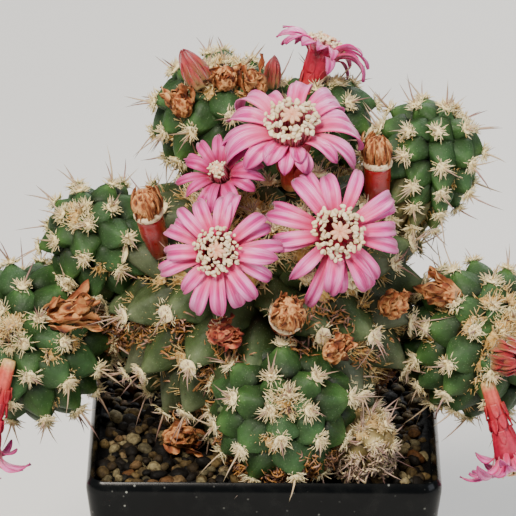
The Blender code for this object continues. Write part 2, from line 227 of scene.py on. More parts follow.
def bases(directions: np.ndarray, twists: np.ndarray) -> np.ndarray:
    """Turns that take +Z to each direction, after a twist about it.

    Args:
        directions: Unit vectors, n by 3.
        twists: Angles in radians, one for each.

    Returns:
        Rotations, n by 3 by 3.
    """
    helper = np.where(np.abs(directions[:, 2:3]) < 0.95, [[0.0, 0.0, 1.0]], [[1.0, 0.0, 0.0]])
    first = np.cross(helper, directions)
    first /= np.linalg.norm(first, axis=1, keepdims=True)
    second = np.cross(directions, first)
    cos = np.cos(twists)[:, None]
    sin = np.sin(twists)[:, None]
    return np.stack([first * cos + second * sin, second * cos - first * sin, directions], axis=2)


def places(turns: np.ndarray, origins: np.ndarray, sizes: np.ndarray) -> np.ndarray:
    """Joins turns, origins and sizes into matrices.

    Args:
        turns: Rotations, n by 3 by 3.
        origins: Points, n by 3.
        sizes: One size for each, or three.

    Returns:
        Matrices, n by 4 by 4.
    """
    sizes = np.asarray(sizes, dtype=float)
    if sizes.ndim == 1:
        sizes = np.repeat(sizes[:, None], 3, axis=1)
    matrices = np.zeros((len(origins), 4, 4))
    matrices[:, :3, :3] = turns * sizes[:, None, :]
    matrices[:, :3, 3] = origins
    matrices[:, 3, 3] = 1.0
    return matrices


def facing_matrix(origin: tuple[float, float, float], facing: tuple[float, float, float]) -> np.ndarray:
    """The matrix that stands a piece at origin with its +Z along facing."""
    turn = Vector(facing).normalized().to_track_quat("Z", "Y").to_matrix().to_4x4()
    return np.array(Matrix.Translation(Vector(origin)) @ turn)


def unit(vectors: np.ndarray) -> np.ndarray:
    """Vectors brought to length 1."""
    return vectors / np.linalg.norm(vectors, axis=-1, keepdims=True)


def strand_form(sides: int, rings: int) -> Shape:
    """A straight closed strand of radius 1 along +Z from 0 to 1, extruded ring by ring.

    Args:
        sides: How many sides it has.
        rings: How many lengths it is extruded in.

    Returns:
        The strand.
    """
    deselect()
    bpy.ops.mesh.primitive_circle_add(vertices=sides, radius=1.0, fill_type="NGON")
    obj = bpy.context.object
    bpy.ops.object.mode_set(mode="EDIT")
    bpy.ops.mesh.select_all(action="SELECT")
    bpy.ops.mesh.flip_normals()
    for _ in range(rings):
        bpy.ops.mesh.extrude_region_move(TRANSFORM_OT_translate={"value": (0.0, 0.0, 1.0 / rings)})
    bpy.ops.mesh.select_all(action="SELECT")
    bpy.ops.mesh.normals_make_consistent(inside=False)
    bpy.ops.object.mode_set(mode="OBJECT")
    return Shape.take(obj)


def strands(
    form: Shape, paths: np.ndarray, radii: np.ndarray, taper: float, tip: float = 0.04, **each: np.ndarray
) -> Shape:
    """Bends a straight strand along curves.

    Args:
        form: A strand of radius 1 from height 0 to 1.
        paths: Start, pull and end of each curve, n by 3 by 3.
        radii: The radius at each start.
        taper: How the radius falls: 1 is a cone, less is blunter.
        tip: The share of the radius left at the end.
        **each: Named numbers, one for each strand.

    Returns:
        All strands, with the value along from 0 at the start to 1 at the end.
    """
    along = form.points[:, 2]
    start, pull, end = paths[:, 0], paths[:, 1], paths[:, 2]
    weights = np.stack([(1 - along) ** 2, 2 * along * (1 - along), along**2])
    line = weights[0][None, :, None] * start[:, None] + weights[1][None, :, None] * pull[:, None]
    line = line + weights[2][None, :, None] * end[:, None]
    chord = unit(end - start)
    turns = bases(chord, np.zeros(len(chord)))
    width = radii[:, None] * (tip + (1 - tip) * (1 - along[None, :]) ** taper)
    offset = turns[:, None, :, 0] * (form.points[:, 0] * width)[:, :, None]
    offset = offset + turns[:, None, :, 1] * (form.points[:, 1] * width)[:, :, None]
    points = (line + offset).reshape(-1, 3)
    size = len(form.points)
    amount = len(paths)
    loops = (form.loops[None, :] + size * np.arange(amount)[:, None]).ravel()
    values = {"along": np.tile(along, amount)}
    for name, numbers in each.items():
        values[name] = np.repeat(numbers, size)
    return Shape(points, loops, np.tile(form.counts, amount), values)


def turned(profile: list[tuple[float, float]], steps: int) -> Shape:
    """Turns an outline about +Z.

    Args:
        profile: Radius and height of each point, from the top down the outer side.
        steps: How many steps the turn takes.

    Returns:
        The turned shape.
    """
    mesh = bpy.data.meshes.new("profile")
    points = [(radius, 0.0, height) for radius, height in profile]
    mesh.from_pydata(points, [(i, i + 1) for i in range(len(points) - 1)], [])
    obj = bpy.data.objects.new("profile", mesh)
    bpy.context.scene.collection.objects.link(obj)
    with_modifier(
        obj, "SCREW", steps=steps, render_steps=steps, use_merge_vertices=True, merge_threshold=0.0001
    )
    return Shape.take(obj)


def ridged(point: np.ndarray, scale: float, octaves: int) -> float:
    """Creased noise, low in the folds and about 1 on the ridges.

    Args:
        point: Where it is read.
        scale: How many creases there are to a unit.
        octaves: How many finer layers are added.

    Returns:
        The height of the creases there.
    """
    total = 0.0
    share = 0.55
    place = Vector(point) * scale
    for _ in range(octaves):
        total += share * (1.0 - abs(noise.noise(place)) * 2.2)
        place = place * 2.1 + Vector((3.1, 1.7, 5.3))
        share *= 0.5
    return total


# ---------------------------------------------------------------- finishes


def linear(code: str) -> tuple[float, float, float, float]:
    """Turns an sRGB hex colour into linear numbers with an alpha of 1."""
    numbers = [int(code[i : i + 2], 16) / 255.0 for i in (1, 3, 5)]
    return (*[n / 12.92 if n <= 0.04045 else ((n + 0.055) / 1.055) ** 2.4 for n in numbers], 1.0)


def add_node(
    tree: bpy.types.NodeTree, kind: str, settings: dict | None = None, inputs: dict | None = None
) -> bpy.types.Node:
    """Adds a shader node.

    Args:
        tree: The material's node tree.
        kind: The node's type name.
        settings: Properties of the node.
        inputs: Sockets by name or number: another node's output to link, or a constant.

    Returns:
        The node.
    """
    node = tree.nodes.new(kind)
    for name, value in (settings or {}).items():
        setattr(node, name, value)
    for name, value in (inputs or {}).items():
        if isinstance(value, bpy.types.NodeSocket):
            tree.links.new(value, node.inputs[name])
        else:
            node.inputs[name].default_value = value
    return node


@dataclass(frozen=True)
class Finish:
    """A surface finish. Each kind of surface fills in its own colour, roughness and bump.

    Attributes:
        name: The material's name.
        slot: The record's material slot that it belongs to; not used.
    """

    name: str
    slot: str

    def material(self) -> bpy.types.Material:
        """The finish's material, made once."""
        made = bpy.data.materials.get(self.name)
        if made:
            return made
        made = bpy.data.materials.new(self.name)
        made.use_nodes = True
        tree = made.node_tree
        shader = tree.nodes["Principled BSDF"]
        self.dress(tree, shader)
        return made

    def dress(self, tree: bpy.types.NodeTree, shader: bpy.types.Node) -> None:
        """Fills in the shader.

        Args:
            tree: The material's node tree.
            shader: Its Principled BSDF.
        """
        raise NotImplementedError

    @staticmethod
    def value(tree: bpy.types.NodeTree, name: str) -> bpy.types.NodeSocket:
        """The output of a named number that the mesh carries."""
        return add_node(tree, "ShaderNodeAttribute", {"attribute_name": name}).outputs["Fac"]

    @staticmethod
    def grain(
        tree: bpy.types.NodeTree, size: float, detail: float = 3.0, stretch: tuple[float, float, float] = (1, 1, 1)
    ) -> bpy.types.NodeSocket:
        """Noise on the object's own coordinates.

        Args:
            tree: The material's node tree.
            size: About how many millimetres its blotches are across.
            detail: How many finer layers it has.
            stretch: Its scale along each axis.

        Returns:
            The noise, from 0 to 1.
        """
        place = add_node(tree, "ShaderNodeTexCoord").outputs["Object"]
        mapping = add_node(tree, "ShaderNodeMapping", None, {"Vector": place, "Scale": stretch})
        scale = 1.0 / (size * MM)
        spread = {"Vector": mapping.outputs["Vector"], "Scale": scale, "Detail": detail, "Roughness": 0.6}
        return add_node(tree, "ShaderNodeTexNoise", None, spread).outputs["Fac"]

    @staticmethod
    def ramp(
        tree: bpy.types.NodeTree, by: bpy.types.NodeSocket, stops: list[tuple[float, str]]
    ) -> bpy.types.NodeSocket:
        """A colour that follows a number.

        Args:
            tree: The material's node tree.
            by: The number.
            stops: Places from 0 to 1, each with its sRGB colour.

        Returns:
            The colour.
        """
        node = add_node(tree, "ShaderNodeValToRGB", None, {"Fac": by})
        elements = node.color_ramp.elements
        while len(elements) < len(stops):
            elements.new(0.5)
        for element, (place, code) in zip(elements, stops):
            element.position = place
            element.color = linear(code)
        return node.outputs["Color"]

    @staticmethod
    def mix(
        tree: bpy.types.NodeTree,
        share: bpy.types.NodeSocket | float,
        first: bpy.types.NodeSocket,
        second: bpy.types.NodeSocket,
        blend: str = "MIX",
    ) -> bpy.types.NodeSocket:
        """Two colours mixed by a share.

        Args:
            tree: The material's node tree.
            share: How much of the second colour there is.
            first: The first colour.
            second: The second colour.
            blend: How the second colour acts on the first.

        Returns:
            The mixed colour.
        """
        settings = {"data_type": "RGBA", "blend_type": blend}
        node = add_node(tree, "ShaderNodeMix", settings, {0: share, 6: first, 7: second})
        return node.outputs[2]

    @staticmethod
    def mapped(
        tree: bpy.types.NodeTree, by: bpy.types.NodeSocket, low: float, high: float, to_low: float, to_high: float
    ) -> bpy.types.NodeSocket:
        """A number taken from one range to another."""
        inputs = {"Value": by, "From Min": low, "From Max": high, "To Min": to_low, "To Max": to_high}
        return add_node(tree, "ShaderNodeMapRange", None, inputs).outputs["Result"]

    @staticmethod
    def bump(
        tree: bpy.types.NodeTree, shader: bpy.types.Node, height: bpy.types.NodeSocket, depth: float, strength: float
    ) -> None:
        """Gives the shader a relief whose full height is depth millimetres."""
        inputs = {"Height": height, "Distance": depth * MM, "Strength": strength}
        tree.links.new(add_node(tree, "ShaderNodeBump", None, inputs).outputs["Normal"], shader.inputs["Normal"])


@dataclass(frozen=True)
class Skin(Finish):
    """Waxy cactus skin: matt green, greyer at the tubercle tips, yellower towards the axils, and darkened from each
    tubercle's tip down to its foot, near black in the axils: painted shade between the tubercles.

    Fine pale breathing pores show as specks.

    Attributes:
        axil: The near-black colour deep between the tubercles: painted shade.
        flank: The darker colour of their lower sides, towards the foot: partly painted shade.
        face: The colour of their upper sides.
        tip: The colour next to the areole.
        blush: The upper colour of the tubercles that differ.
    """

    axil: str
    flank: str
    face: str
    tip: str
    blush: str

    def dress(self, tree: bpy.types.NodeTree, shader: bpy.types.Node) -> None:
        """Fills in the shader.

        Args:
            tree: The material's node tree.
            shader: Its Principled BSDF.
        """
        rise = self.value(tree, "rise")
        tone = self.value(tree, "tone")
        blotch = self.grain(tree, 4.0)
        uneven = add_node(
            tree, "ShaderNodeMath", {"operation": "MULTIPLY_ADD"}, {0: blotch, 1: 0.35, 2: rise}
        ).outputs[0]
        # Colour by rise: darker towards each tubercle's foot and near black at the axils, which is painted shade in
        # the creases between the tubercles.
        colour = self.ramp(
            tree, uneven, [(0.16, self.axil), (0.48, self.flank), (0.84, self.face), (1.0, self.tip)]
        )
        blushed = self.ramp(tree, uneven, [(0.2, self.flank), (0.95, self.blush)])
        share = self.mapped(tree, tone, 0.35, 1.0, 0.0, 0.75)
        colour = self.mix(tree, share, colour, blushed)
        place = add_node(tree, "ShaderNodeTexCoord").outputs["Object"]
        pores = add_node(
            tree, "ShaderNodeTexVoronoi", None, {"Vector": place, "Scale": 1.0 / (0.75 * MM)}
        ).outputs["Distance"]
        speck = self.mapped(tree, pores, 0.10, 0.26, 0.13, 0.0)
        pale = self.ramp(tree, speck, [(0.0, "#b9c9a8"), (1.0, "#b9c9a8")])
        colour = self.mix(tree, speck, colour, pale)
        shade = self.ramp(tree, self.grain(tree, 3.2, 5.0), [(0.3, "#a2a89a"), (0.7, "#ffffff")])
        colour = self.mix(tree, 0.75, colour, shade, "MULTIPLY")
        cork = self.ramp(tree, self.grain(tree, 1.8), [(0.3, "#4a3820"), (0.7, "#8c7448")])
        corky = self.mapped(tree, self.value(tree, "age"), 0.60, 0.78, 0.0, 0.8)
        colour = self.mix(tree, corky, colour, cork)
        tree.links.new(colour, shader.inputs["Base Color"])
        rough = self.mapped(tree, self.grain(tree, 2.0), 0.3, 0.7, 0.48, 0.72)
        tree.links.new(rough, shader.inputs["Roughness"])
        shader.inputs["Subsurface Weight"].default_value = 0.06
        shader.inputs["Subsurface Radius"].default_value = (0.0012, 0.0020, 0.0008)
        shader.inputs["Subsurface Scale"].default_value = 1.0
        shader.inputs["Specular IOR Level"].default_value = 0.34
        self.bump(tree, shader, self.grain(tree, 0.9, 5.0), 0.30, 0.70)


@dataclass(frozen=True)
class Spine(Finish):
    """Dry horny spines: chalky at the foot, and pinkish brown to nearly black towards the point.

    Attributes:
        foot: The colour at the foot.
        shaft: The colour of a pale spine's shaft.
        point: The colour of a dark spine's point.
    """

    foot: str
    shaft: str
    point: str

    def dress(self, tree: bpy.types.NodeTree, shader: bpy.types.Node) -> None:
        """Fills in the shader.

        Args:
            tree: The material's node tree.
            shader: Its Principled BSDF.
        """
        along = self.value(tree, "along")
        tone = self.value(tree, "tone")
        pale = self.ramp(tree, along, [(0.0, self.foot), (0.6, self.shaft), (1.0, self.shaft)])
        dark = self.ramp(tree, along, [(0.0, self.foot), (0.25, "#b08a7c"), (0.60, "#96706a"), (0.95, self.point)])
        colour = self.mix(tree, tone, pale, dark)
        shade = self.ramp(tree, self.grain(tree, 1.2), [(0.3, "#cfcfcf"), (0.7, "#ffffff")])
        tree.links.new(self.mix(tree, 0.7, colour, shade, "MULTIPLY"), shader.inputs["Base Color"])
        rough = self.mapped(tree, self.grain(tree, 0.8), 0.3, 0.7, 0.40, 0.60)
        tree.links.new(rough, shader.inputs["Roughness"])
        self.bump(tree, shader, self.grain(tree, 0.3), 0.05, 0.4)


@dataclass(frozen=True)
class Wool(Finish):
    """Felt-like areole wool: cream where it is young, straw and tan where it is old.

    Attributes:
        young: The colour of new wool.
        old: The colour of old wool.
    """

    young: str
    old: str

    def dress(self, tree: bpy.types.NodeTree, shader: bpy.types.Node) -> None:
        """Fills in the shader.

        Args:
            tree: The material's node tree.
            shader: Its Principled BSDF.
        """
        colour = self.mix(
            tree,
            self.value(tree, "tone"),
            self.ramp(tree, self.grain(tree, 1.5), [(0.3, self.young), (0.75, "#f5ebc0")]),
            self.ramp(tree, self.grain(tree, 1.5), [(0.2, "#6b4420"), (0.42, self.old), (0.9, self.young)]),
        )
        tree.links.new(colour, shader.inputs["Base Color"])
        rough = self.mapped(tree, self.grain(tree, 1.0), 0.3, 0.7, 0.80, 0.95)
        tree.links.new(rough, shader.inputs["Roughness"])
        shader.inputs["Sheen Weight"].default_value = 0.35
        shader.inputs["Sheen Roughness"].default_value = 0.5
        self.bump(tree, shader, self.grain(tree, 0.25), 0.08, 0.6)


@dataclass(frozen=True)
class Petal(Finish):
    """Silky petal tissue: pale pink margins, a magenta midstripe and fine lengthwise veins.

    Attributes:
        margin: The colour towards the edges.
        body: The colour between edge and midstripe.
        stripe: The colour of the midstripe and the tip.
        throat: The colour at the base.
    """

    margin: str
    body: str
    stripe: str
    throat: str

    def dress(self, tree: bpy.types.NodeTree, shader: bpy.types.Node) -> None:
        """Fills in the shader.

        Args:
            tree: The material's node tree.
            shader: Its Principled BSDF.
        """
        across = self.value(tree, "across")
        along = self.value(tree, "along")
        tone = self.value(tree, "tone")
        lengthwise = add_node(
            tree,
            "ShaderNodeCombineXYZ",
            None,
            {
                "X": self.mapped(tree, across, -1.0, 1.0, 0.0, 6.0),
                "Y": self.mapped(tree, along, 0.0, 1.0, 0.0, 1.3),
                "Z": self.mapped(tree, tone, 0.0, 1.0, 0.0, 40.0),
            },
        ).outputs[0]
        streaks = add_node(
            tree, "ShaderNodeTexNoise", None, {"Vector": lengthwise, "Scale": 1.0, "Detail": 3.0, "Roughness": 0.65}
        ).outputs["Fac"]
        side = add_node(tree, "ShaderNodeMath", {"operation": "ABSOLUTE"}, {0: across}).outputs[0]
        streaked = add_node(
            tree, "ShaderNodeMath", {"operation": "MULTIPLY_ADD"}, {0: streaks, 1: 1.5, 2: side}
        ).outputs[0]
        colour = self.ramp(
            tree,
            self.mapped(tree, streaked, 0.55, 1.75, 0.0, 1.0),
            [(0.0, self.stripe), (0.30, self.body), (0.62, self.margin), (1.0, self.body)],
        )
        near_throat = self.mapped(tree, along, 0.10, 0.58, 1.0, 0.0)
        throat = self.ramp(tree, near_throat, [(0.0, self.throat), (1.0, self.throat)])
        near_tip = self.mapped(tree, along, 0.60, 1.0, 0.0, 0.90)
        tip = self.ramp(tree, near_tip, [(0.0, self.stripe), (1.0, self.stripe)])
        colour = self.mix(tree, near_throat, colour, throat)
        colour = self.mix(tree, near_tip, colour, tip)
        veins = add_node(
            tree,
            "ShaderNodeTexWave",
            {"bands_direction": "X", "wave_profile": "SIN"},
            {"Vector": lengthwise, "Scale": 0.75, "Distortion": 1.4, "Detail": 2.0},
        ).outputs["Fac"]
        vein_shade = self.ramp(tree, veins, [(0.0, "#e6c0d4"), (0.6, "#ffffff")])
        colour = self.mix(tree, 0.6, colour, vein_shade, "MULTIPLY")
        depth = self.ramp(tree, tone, [(0.0, "#ffffff"), (1.0, "#efb4d6")])
        colour = self.mix(tree, 0.5, colour, depth, "MULTIPLY")
        tree.links.new(colour, shader.inputs["Base Color"])
        rough = self.mapped(tree, veins, 0.0, 1.0, 0.46, 0.34)
        tree.links.new(rough, shader.inputs["Roughness"])
        shader.inputs["Subsurface Weight"].default_value = 0.25
        shader.inputs["Subsurface Radius"].default_value = (0.0016, 0.0008, 0.0012)
        shader.inputs["Subsurface Scale"].default_value = 1.0
        shader.inputs["Sheen Weight"].default_value = 0.35
        shader.inputs["Sheen Roughness"].default_value = 0.35
        self.bump(tree, shader, veins, 0.10, 0.5)


@dataclass(frozen=True)
class Graded(Finish):
    """Soft plant tissue that changes colour along its length, with a fine uneven grain.

    Attributes:
        stops: Places along the piece from 0 to 1 and the colour there.
        dull: The roughness of its dullest patches.
        gloss: The roughness of its shiniest patches.
        grain_size: The size of its grain in millimetres.
        relief: The height of its grain in millimetres.
        coat: The weight of a clear skin over it.
    """

    stops: tuple[tuple[float, str], ...]
    dull: float = 0.7
    gloss: float = 0.5
    grain_size: float = 0.8
    relief: float = 0.15
    coat: float = 0.0

    def dress(self, tree: bpy.types.NodeTree, shader: bpy.types.Node) -> None:
        """Fills in the shader.

        Args:
            tree: The material's node tree.
            shader: Its Principled BSDF.
        """
        along = self.value(tree, "along")
        tone = self.value(tree, "tone")
        drift = self.grain(tree, 3.0)
        along = add_node(
            tree, "ShaderNodeMath", {"operation": "MULTIPLY_ADD"}, {0: drift, 1: 0.24, 2: along}
        ).outputs[0]
        along = add_node(tree, "ShaderNodeMath", {"operation": "SUBTRACT"}, {0: along, 1: 0.12}).outputs[0]
        colour = self.ramp(tree, along, list(self.stops))
        speckle = self.ramp(tree, self.grain(tree, self.grain_size, 4.0), [(0.3, "#b9b0aa"), (0.65, "#ffffff")])
        colour = self.mix(tree, 0.6, colour, speckle, "MULTIPLY")
        depth = self.ramp(tree, tone, [(0.0, "#ffffff"), (1.0, "#c9b4a8")])
        colour = self.mix(tree, 0.6, colour, depth, "MULTIPLY")
        tree.links.new(colour, shader.inputs["Base Color"])
        rough = self.mapped(tree, self.grain(tree, 1.6), 0.3, 0.7, self.gloss, self.dull)
        tree.links.new(rough, shader.inputs["Roughness"])
        shader.inputs["Coat Weight"].default_value = self.coat
        shader.inputs["Coat Roughness"].default_value = 0.12
        self.bump(tree, shader, self.grain(tree, self.grain_size, 4.0), self.relief, 0.7)


@dataclass(frozen=True)
class Withered(Finish):
    """Dried flower tissue: papery and brittle, coloured by how high its crumpled surface stands: rust brown painted
    shade in the folds, straw painted light on the ridges.

    Attributes:
        fold: The colour in the folds, painted shade.
        middle: The colour between.
        ridge: The colour on the ridges, painted light.
    """

    fold: str
    middle: str
    ridge: str

    def dress(self, tree: bpy.types.NodeTree, shader: bpy.types.Node) -> None:
        """Fills in the shader.

        Args:
            tree: The material's node tree.
            shader: Its Principled BSDF.
        """
        # fold follows the crumple that shapes the surface, so this ramp paints shade into the folds and light onto
        # the ridges.
        fold = self.value(tree, "fold")
        tone = self.value(tree, "tone")
        mottled = add_node(
            tree, "ShaderNodeMath", {"operation": "MULTIPLY_ADD"}, {0: self.grain(tree, 1.4, 4.0), 1: 0.5, 2: fold}
        ).outputs[0]
        colour = self.ramp(tree, mottled, [(0.30, self.fold), (0.66, self.middle), (1.0, self.ridge)])
        depth = self.ramp(tree, tone, [(0.0, "#ffffff"), (1.0, "#c98f6a")])
        colour = self.mix(tree, 0.8, colour, depth, "MULTIPLY")
        tree.links.new(colour, shader.inputs["Base Color"])
        rough = self.mapped(tree, self.grain(tree, 1.0), 0.3, 0.7, 0.62, 0.90)
        tree.links.new(rough, shader.inputs["Roughness"])
        self.bump(tree, shader, self.grain(tree, 0.7, 5.0), 0.35, 0.9)


@dataclass(frozen=True)
class Grit(Finish):
    """Washed river grit: each grain has its own colour from cream to slate, with mineral specks; the near-black end
    of the ramp is painted shade from the plant above and in the gaps.
    """

    def dress(self, tree: bpy.types.NodeTree, shader: bpy.types.Node) -> None:
        """Fills in the shader.

        Args:
            tree: The material's node tree.
            shader: Its Principled BSDF.
        """
        tone = self.value(tree, "tone")
        # The stops from near black to dark brown darken many grains as painted shade from the plant overhead; the
        # tan, cream, slate and rust stops are the grains' own colours.
        stops = [
            (0.0, "#060504"),
            (0.10, "#100d09"),
            (0.38, "#19140d"),
            (0.50, "#3f321d"),
            (0.62, "#6b5936"),
            (0.72, "#20201b"),
            (0.86, "#877c5a"),
            (1.0, "#553010"),
        ]
        colour = self.ramp(tree, tone, stops)
        mineral = self.ramp(tree, self.grain(tree, 0.8, 5.0), [(0.34, "#7d7468"), (0.62, "#ffffff")])
        colour = self.mix(tree, 0.85, colour, mineral, "MULTIPLY")
        tree.links.new(colour, shader.inputs["Base Color"])
        rough = self.mapped(tree, self.grain(tree, 1.0), 0.3, 0.7, 0.55, 0.9)
        tree.links.new(rough, shader.inputs["Roughness"])
        shader.inputs["Specular IOR Level"].default_value = 0.20
        self.bump(tree, shader, self.grain(tree, 0.5, 5.0), 0.25, 0.8)


@dataclass(frozen=True)
class Mix(Finish):
    """Peaty potting mix or bark: dark crumbs a millimetre or two across.

    Attributes:
        dark: The colour of the darkest crumbs.
        light: The colour of the lightest crumbs.
    """

    dark: str
    light: str

    def dress(self, tree: bpy.types.NodeTree, shader: bpy.types.Node) -> None:
        """Fills in the shader.

        Args:
            tree: The material's node tree.
            shader: Its Principled BSDF.
        """
        crumbs = self.grain(tree, 1.8, 5.0)
        tree.links.new(self.ramp(tree, crumbs, [(0.3, self.dark), (0.7, self.light)]), shader.inputs["Base Color"])
        rough = self.mapped(tree, crumbs, 0.3, 0.7, 0.85, 1.0)
        tree.links.new(rough, shader.inputs["Roughness"])
        self.bump(tree, shader, crumbs, 1.0, 1.0)


@dataclass(frozen=True)
class PotPlastic(Finish):
    """Injection-moulded black polypropylene: glossy, a little wavy, with dust and dried water specks."""

    def dress(self, tree: bpy.types.NodeTree, shader: bpy.types.Node) -> None:
        """Fills in the shader.

        Args:
            tree: The material's node tree.
            shader: Its Principled BSDF.
        """
        place = add_node(tree, "ShaderNodeTexCoord").outputs["Object"]
        cells = add_node(
            tree, "ShaderNodeTexVoronoi", None, {"Vector": place, "Scale": 1.0 / (2.6 * MM), "Randomness": 1.0}
        )
        patches = self.mapped(tree, self.grain(tree, 14.0), 0.45, 0.62, 0.0, 1.0)
        speck = self.mapped(tree, cells.outputs["Distance"], 0.05, 0.15, 1.0, 0.0)
        speck = add_node(tree, "ShaderNodeMath", {"operation": "MULTIPLY"}, {0: speck, 1: patches}).outputs[0]
        film = self.mapped(tree, self.grain(tree, 5.0, 5.0), 0.50, 0.78, 0.0, 0.02)
        dust = add_node(tree, "ShaderNodeMath", {"operation": "MAXIMUM"}, {0: speck, 1: film}).outputs[0]
        black = self.ramp(tree, self.grain(tree, 22.0), [(0.3, "#040506"), (0.7, "#090b0c")])
        pale = self.ramp(tree, dust, [(0.0, "#8d8f88"), (1.0, "#8d8f88")])
        tree.links.new(self.mix(tree, dust, black, pale), shader.inputs["Base Color"])
        rough = self.mapped(tree, dust, 0.0, 0.5, 0.20, 0.75)
        tree.links.new(rough, shader.inputs["Roughness"])
        shader.inputs["IOR"].default_value = 1.49
        shader.inputs["Specular IOR Level"].default_value = 0.15
        self.bump(tree, shader, self.grain(tree, 7.0, 2.0), 0.10, 0.35)


@dataclass(frozen=True)
class Backdrop(Finish):
    """Matt pale paint on the studio floor."""

    def dress(self, tree: bpy.types.NodeTree, shader: bpy.types.Node) -> None:
        """Fills in the shader.

        Args:
            tree: The material's node tree.
            shader: Its Principled BSDF.
        """
        drift = self.grain(tree, 400.0, 2.0)
        tree.links.new(self.ramp(tree, drift, [(0.3, "#d9d8d4"), (0.7, "#dfdedb")]), shader.inputs["Base Color"])
        shader.inputs["Roughness"].default_value = 0.85


# The first colour of each skin, near black or dark brown, is painted shade deep between the tubercles.
SKIN_OLD = Skin("waxy_skin_old_head", "stem_skin", "#151308", "#2e3c18", "#41552b", "#5d6d48", "#5c5d4c")
SKIN_YOUNG = Skin("waxy_skin_young_head", "stem_skin", "#0a0f05", "#203a13", "#315522", "#466a32", "#3a5f38")
SKIN_DRY = Skin("corky_skin_dry_offset", "stem_skin", "#2c2110", "#6b5a34", "#8f8050", "#c9b685", "#a98f5c")
SPINE_OLD = Spine("horny_spine", "stem_skin", "#dcc894", "#d9bfa6", "#5a3a34")
SPINE_YOUNG = Spine("horny_spine_young", "stem_skin", "#e8d99c", "#e8d4a6", "#40302c")
WOOL = Wool("areole_wool", "stem_skin", "#ecdc9c", "#b98a36")
WOOL_STRAW = Wool("straw_wool", "stem_skin", "#e2cf94", "#b58e4c")
PETAL = Petal("silky_petal", "petal", "#fba4da", "#e0409a", "#a80f6a", "#e8406c")
PETAL_DEEP = Petal("silky_petal_deep", "petal", "#e56db4", "#cc2f88", "#9e0f56", "#b01c4a")
FILAMENT = Graded("stamen_filament", "anther", ((0.0, "#c23a5c"), (1.0, "#eb9aa8")), 0.6, 0.45, 0.6, 0.05)
ANTHER = Graded("pollen_anther", "anther", ((0.0, "#fbe8b6"), (1.0, "#fff6d6")), 0.9, 0.75, 0.35, 0.12)
STIGMA = Graded("stigma_lobe", "stigma", ((0.0, "#e79a78"), (1.0, "#f7c8a2")), 0.65, 0.5, 0.4, 0.10)
TUBE = Graded(
    "floral_tube_skin",
    "floral_tube",
    ((0.0, "#e6c382"), (0.14, "#d9604e"), (0.40, "#bd2436"), (1.0, "#b71c46")),
    0.55,
    0.38,
)
BUD = Petal("bud_scale", "floral_tube", "#b5483e", "#9c2630", "#760f1e", "#8f7a48")
BERRY = Graded(
    "berry_skin", "berry", ((0.0, "#5a050b"), (0.6, "#86070f"), (1.0, "#a80f14")), 0.45, 0.22, 0.5, 0.06, 0.4
)
# Its tan first stop is painted shade in the dips of the collar's lumps.
COLLAR = Graded("berry_collar", "berry", ((0.0, "#c98a5c"), (0.5, "#f1e2bd"), (1.0, "#e2c99a")), 0.9, 0.7, 0.5, 0.2)
# Their fold colours are painted shade and their ridge colours painted light.
DRIED = Withered("dried_flower_tissue", "dried_flower", "#4a220e", "#985628", "#d3a066")
DRIED_RED = Withered("dried_flower_red", "dried_flower", "#4a120e", "#9a3a28", "#cf8a62")
GRIT = Grit("river_grit", "gravel")
SOIL = Mix("peat_mix", "potting_mix", "#120c08", "#2e2118")
CORK = Mix("corky_bark", "root_bark", "#3a2c1c", "#7a6242")
POT = PotPlastic("moulded_pot_plastic", "pot_plastic")
FIBRE = Spine("shed_spines", "stem_skin", "#a8702c", "#b9823c", "#3a1a0c")
FLOOR = Backdrop("floor_paint", "pot_plastic")


# ---------------------------------------------------------------- stems


CROWN_SPINES = 56
CROWN_HAIRS = 420
AXIL_HAIRS = 110
# The felt lump's radius as a share of its tuft's.
FELT_SHARE = 0.80
# Where the spiral of tubercles ends, in radians from the crown.
SPIRAL_END = math.pi * 0.93
# How deep a tubercle is rooted below its tip, in its own lengths.
ROOT_DEPTH = 0.80
# A tubercle's half width as a share of the gap to its neighbours.
GIRTH_SHARE = 0.78
# How far a tubercle's tip hangs down on the flanks, in its own lengths.
TIP_SAG = 0.10


class Age(Enum):
    """How old a stem is, which sets its skin and spines."""

    OLD = "old"
    YOUNG = "young"
    DRY = "dry"


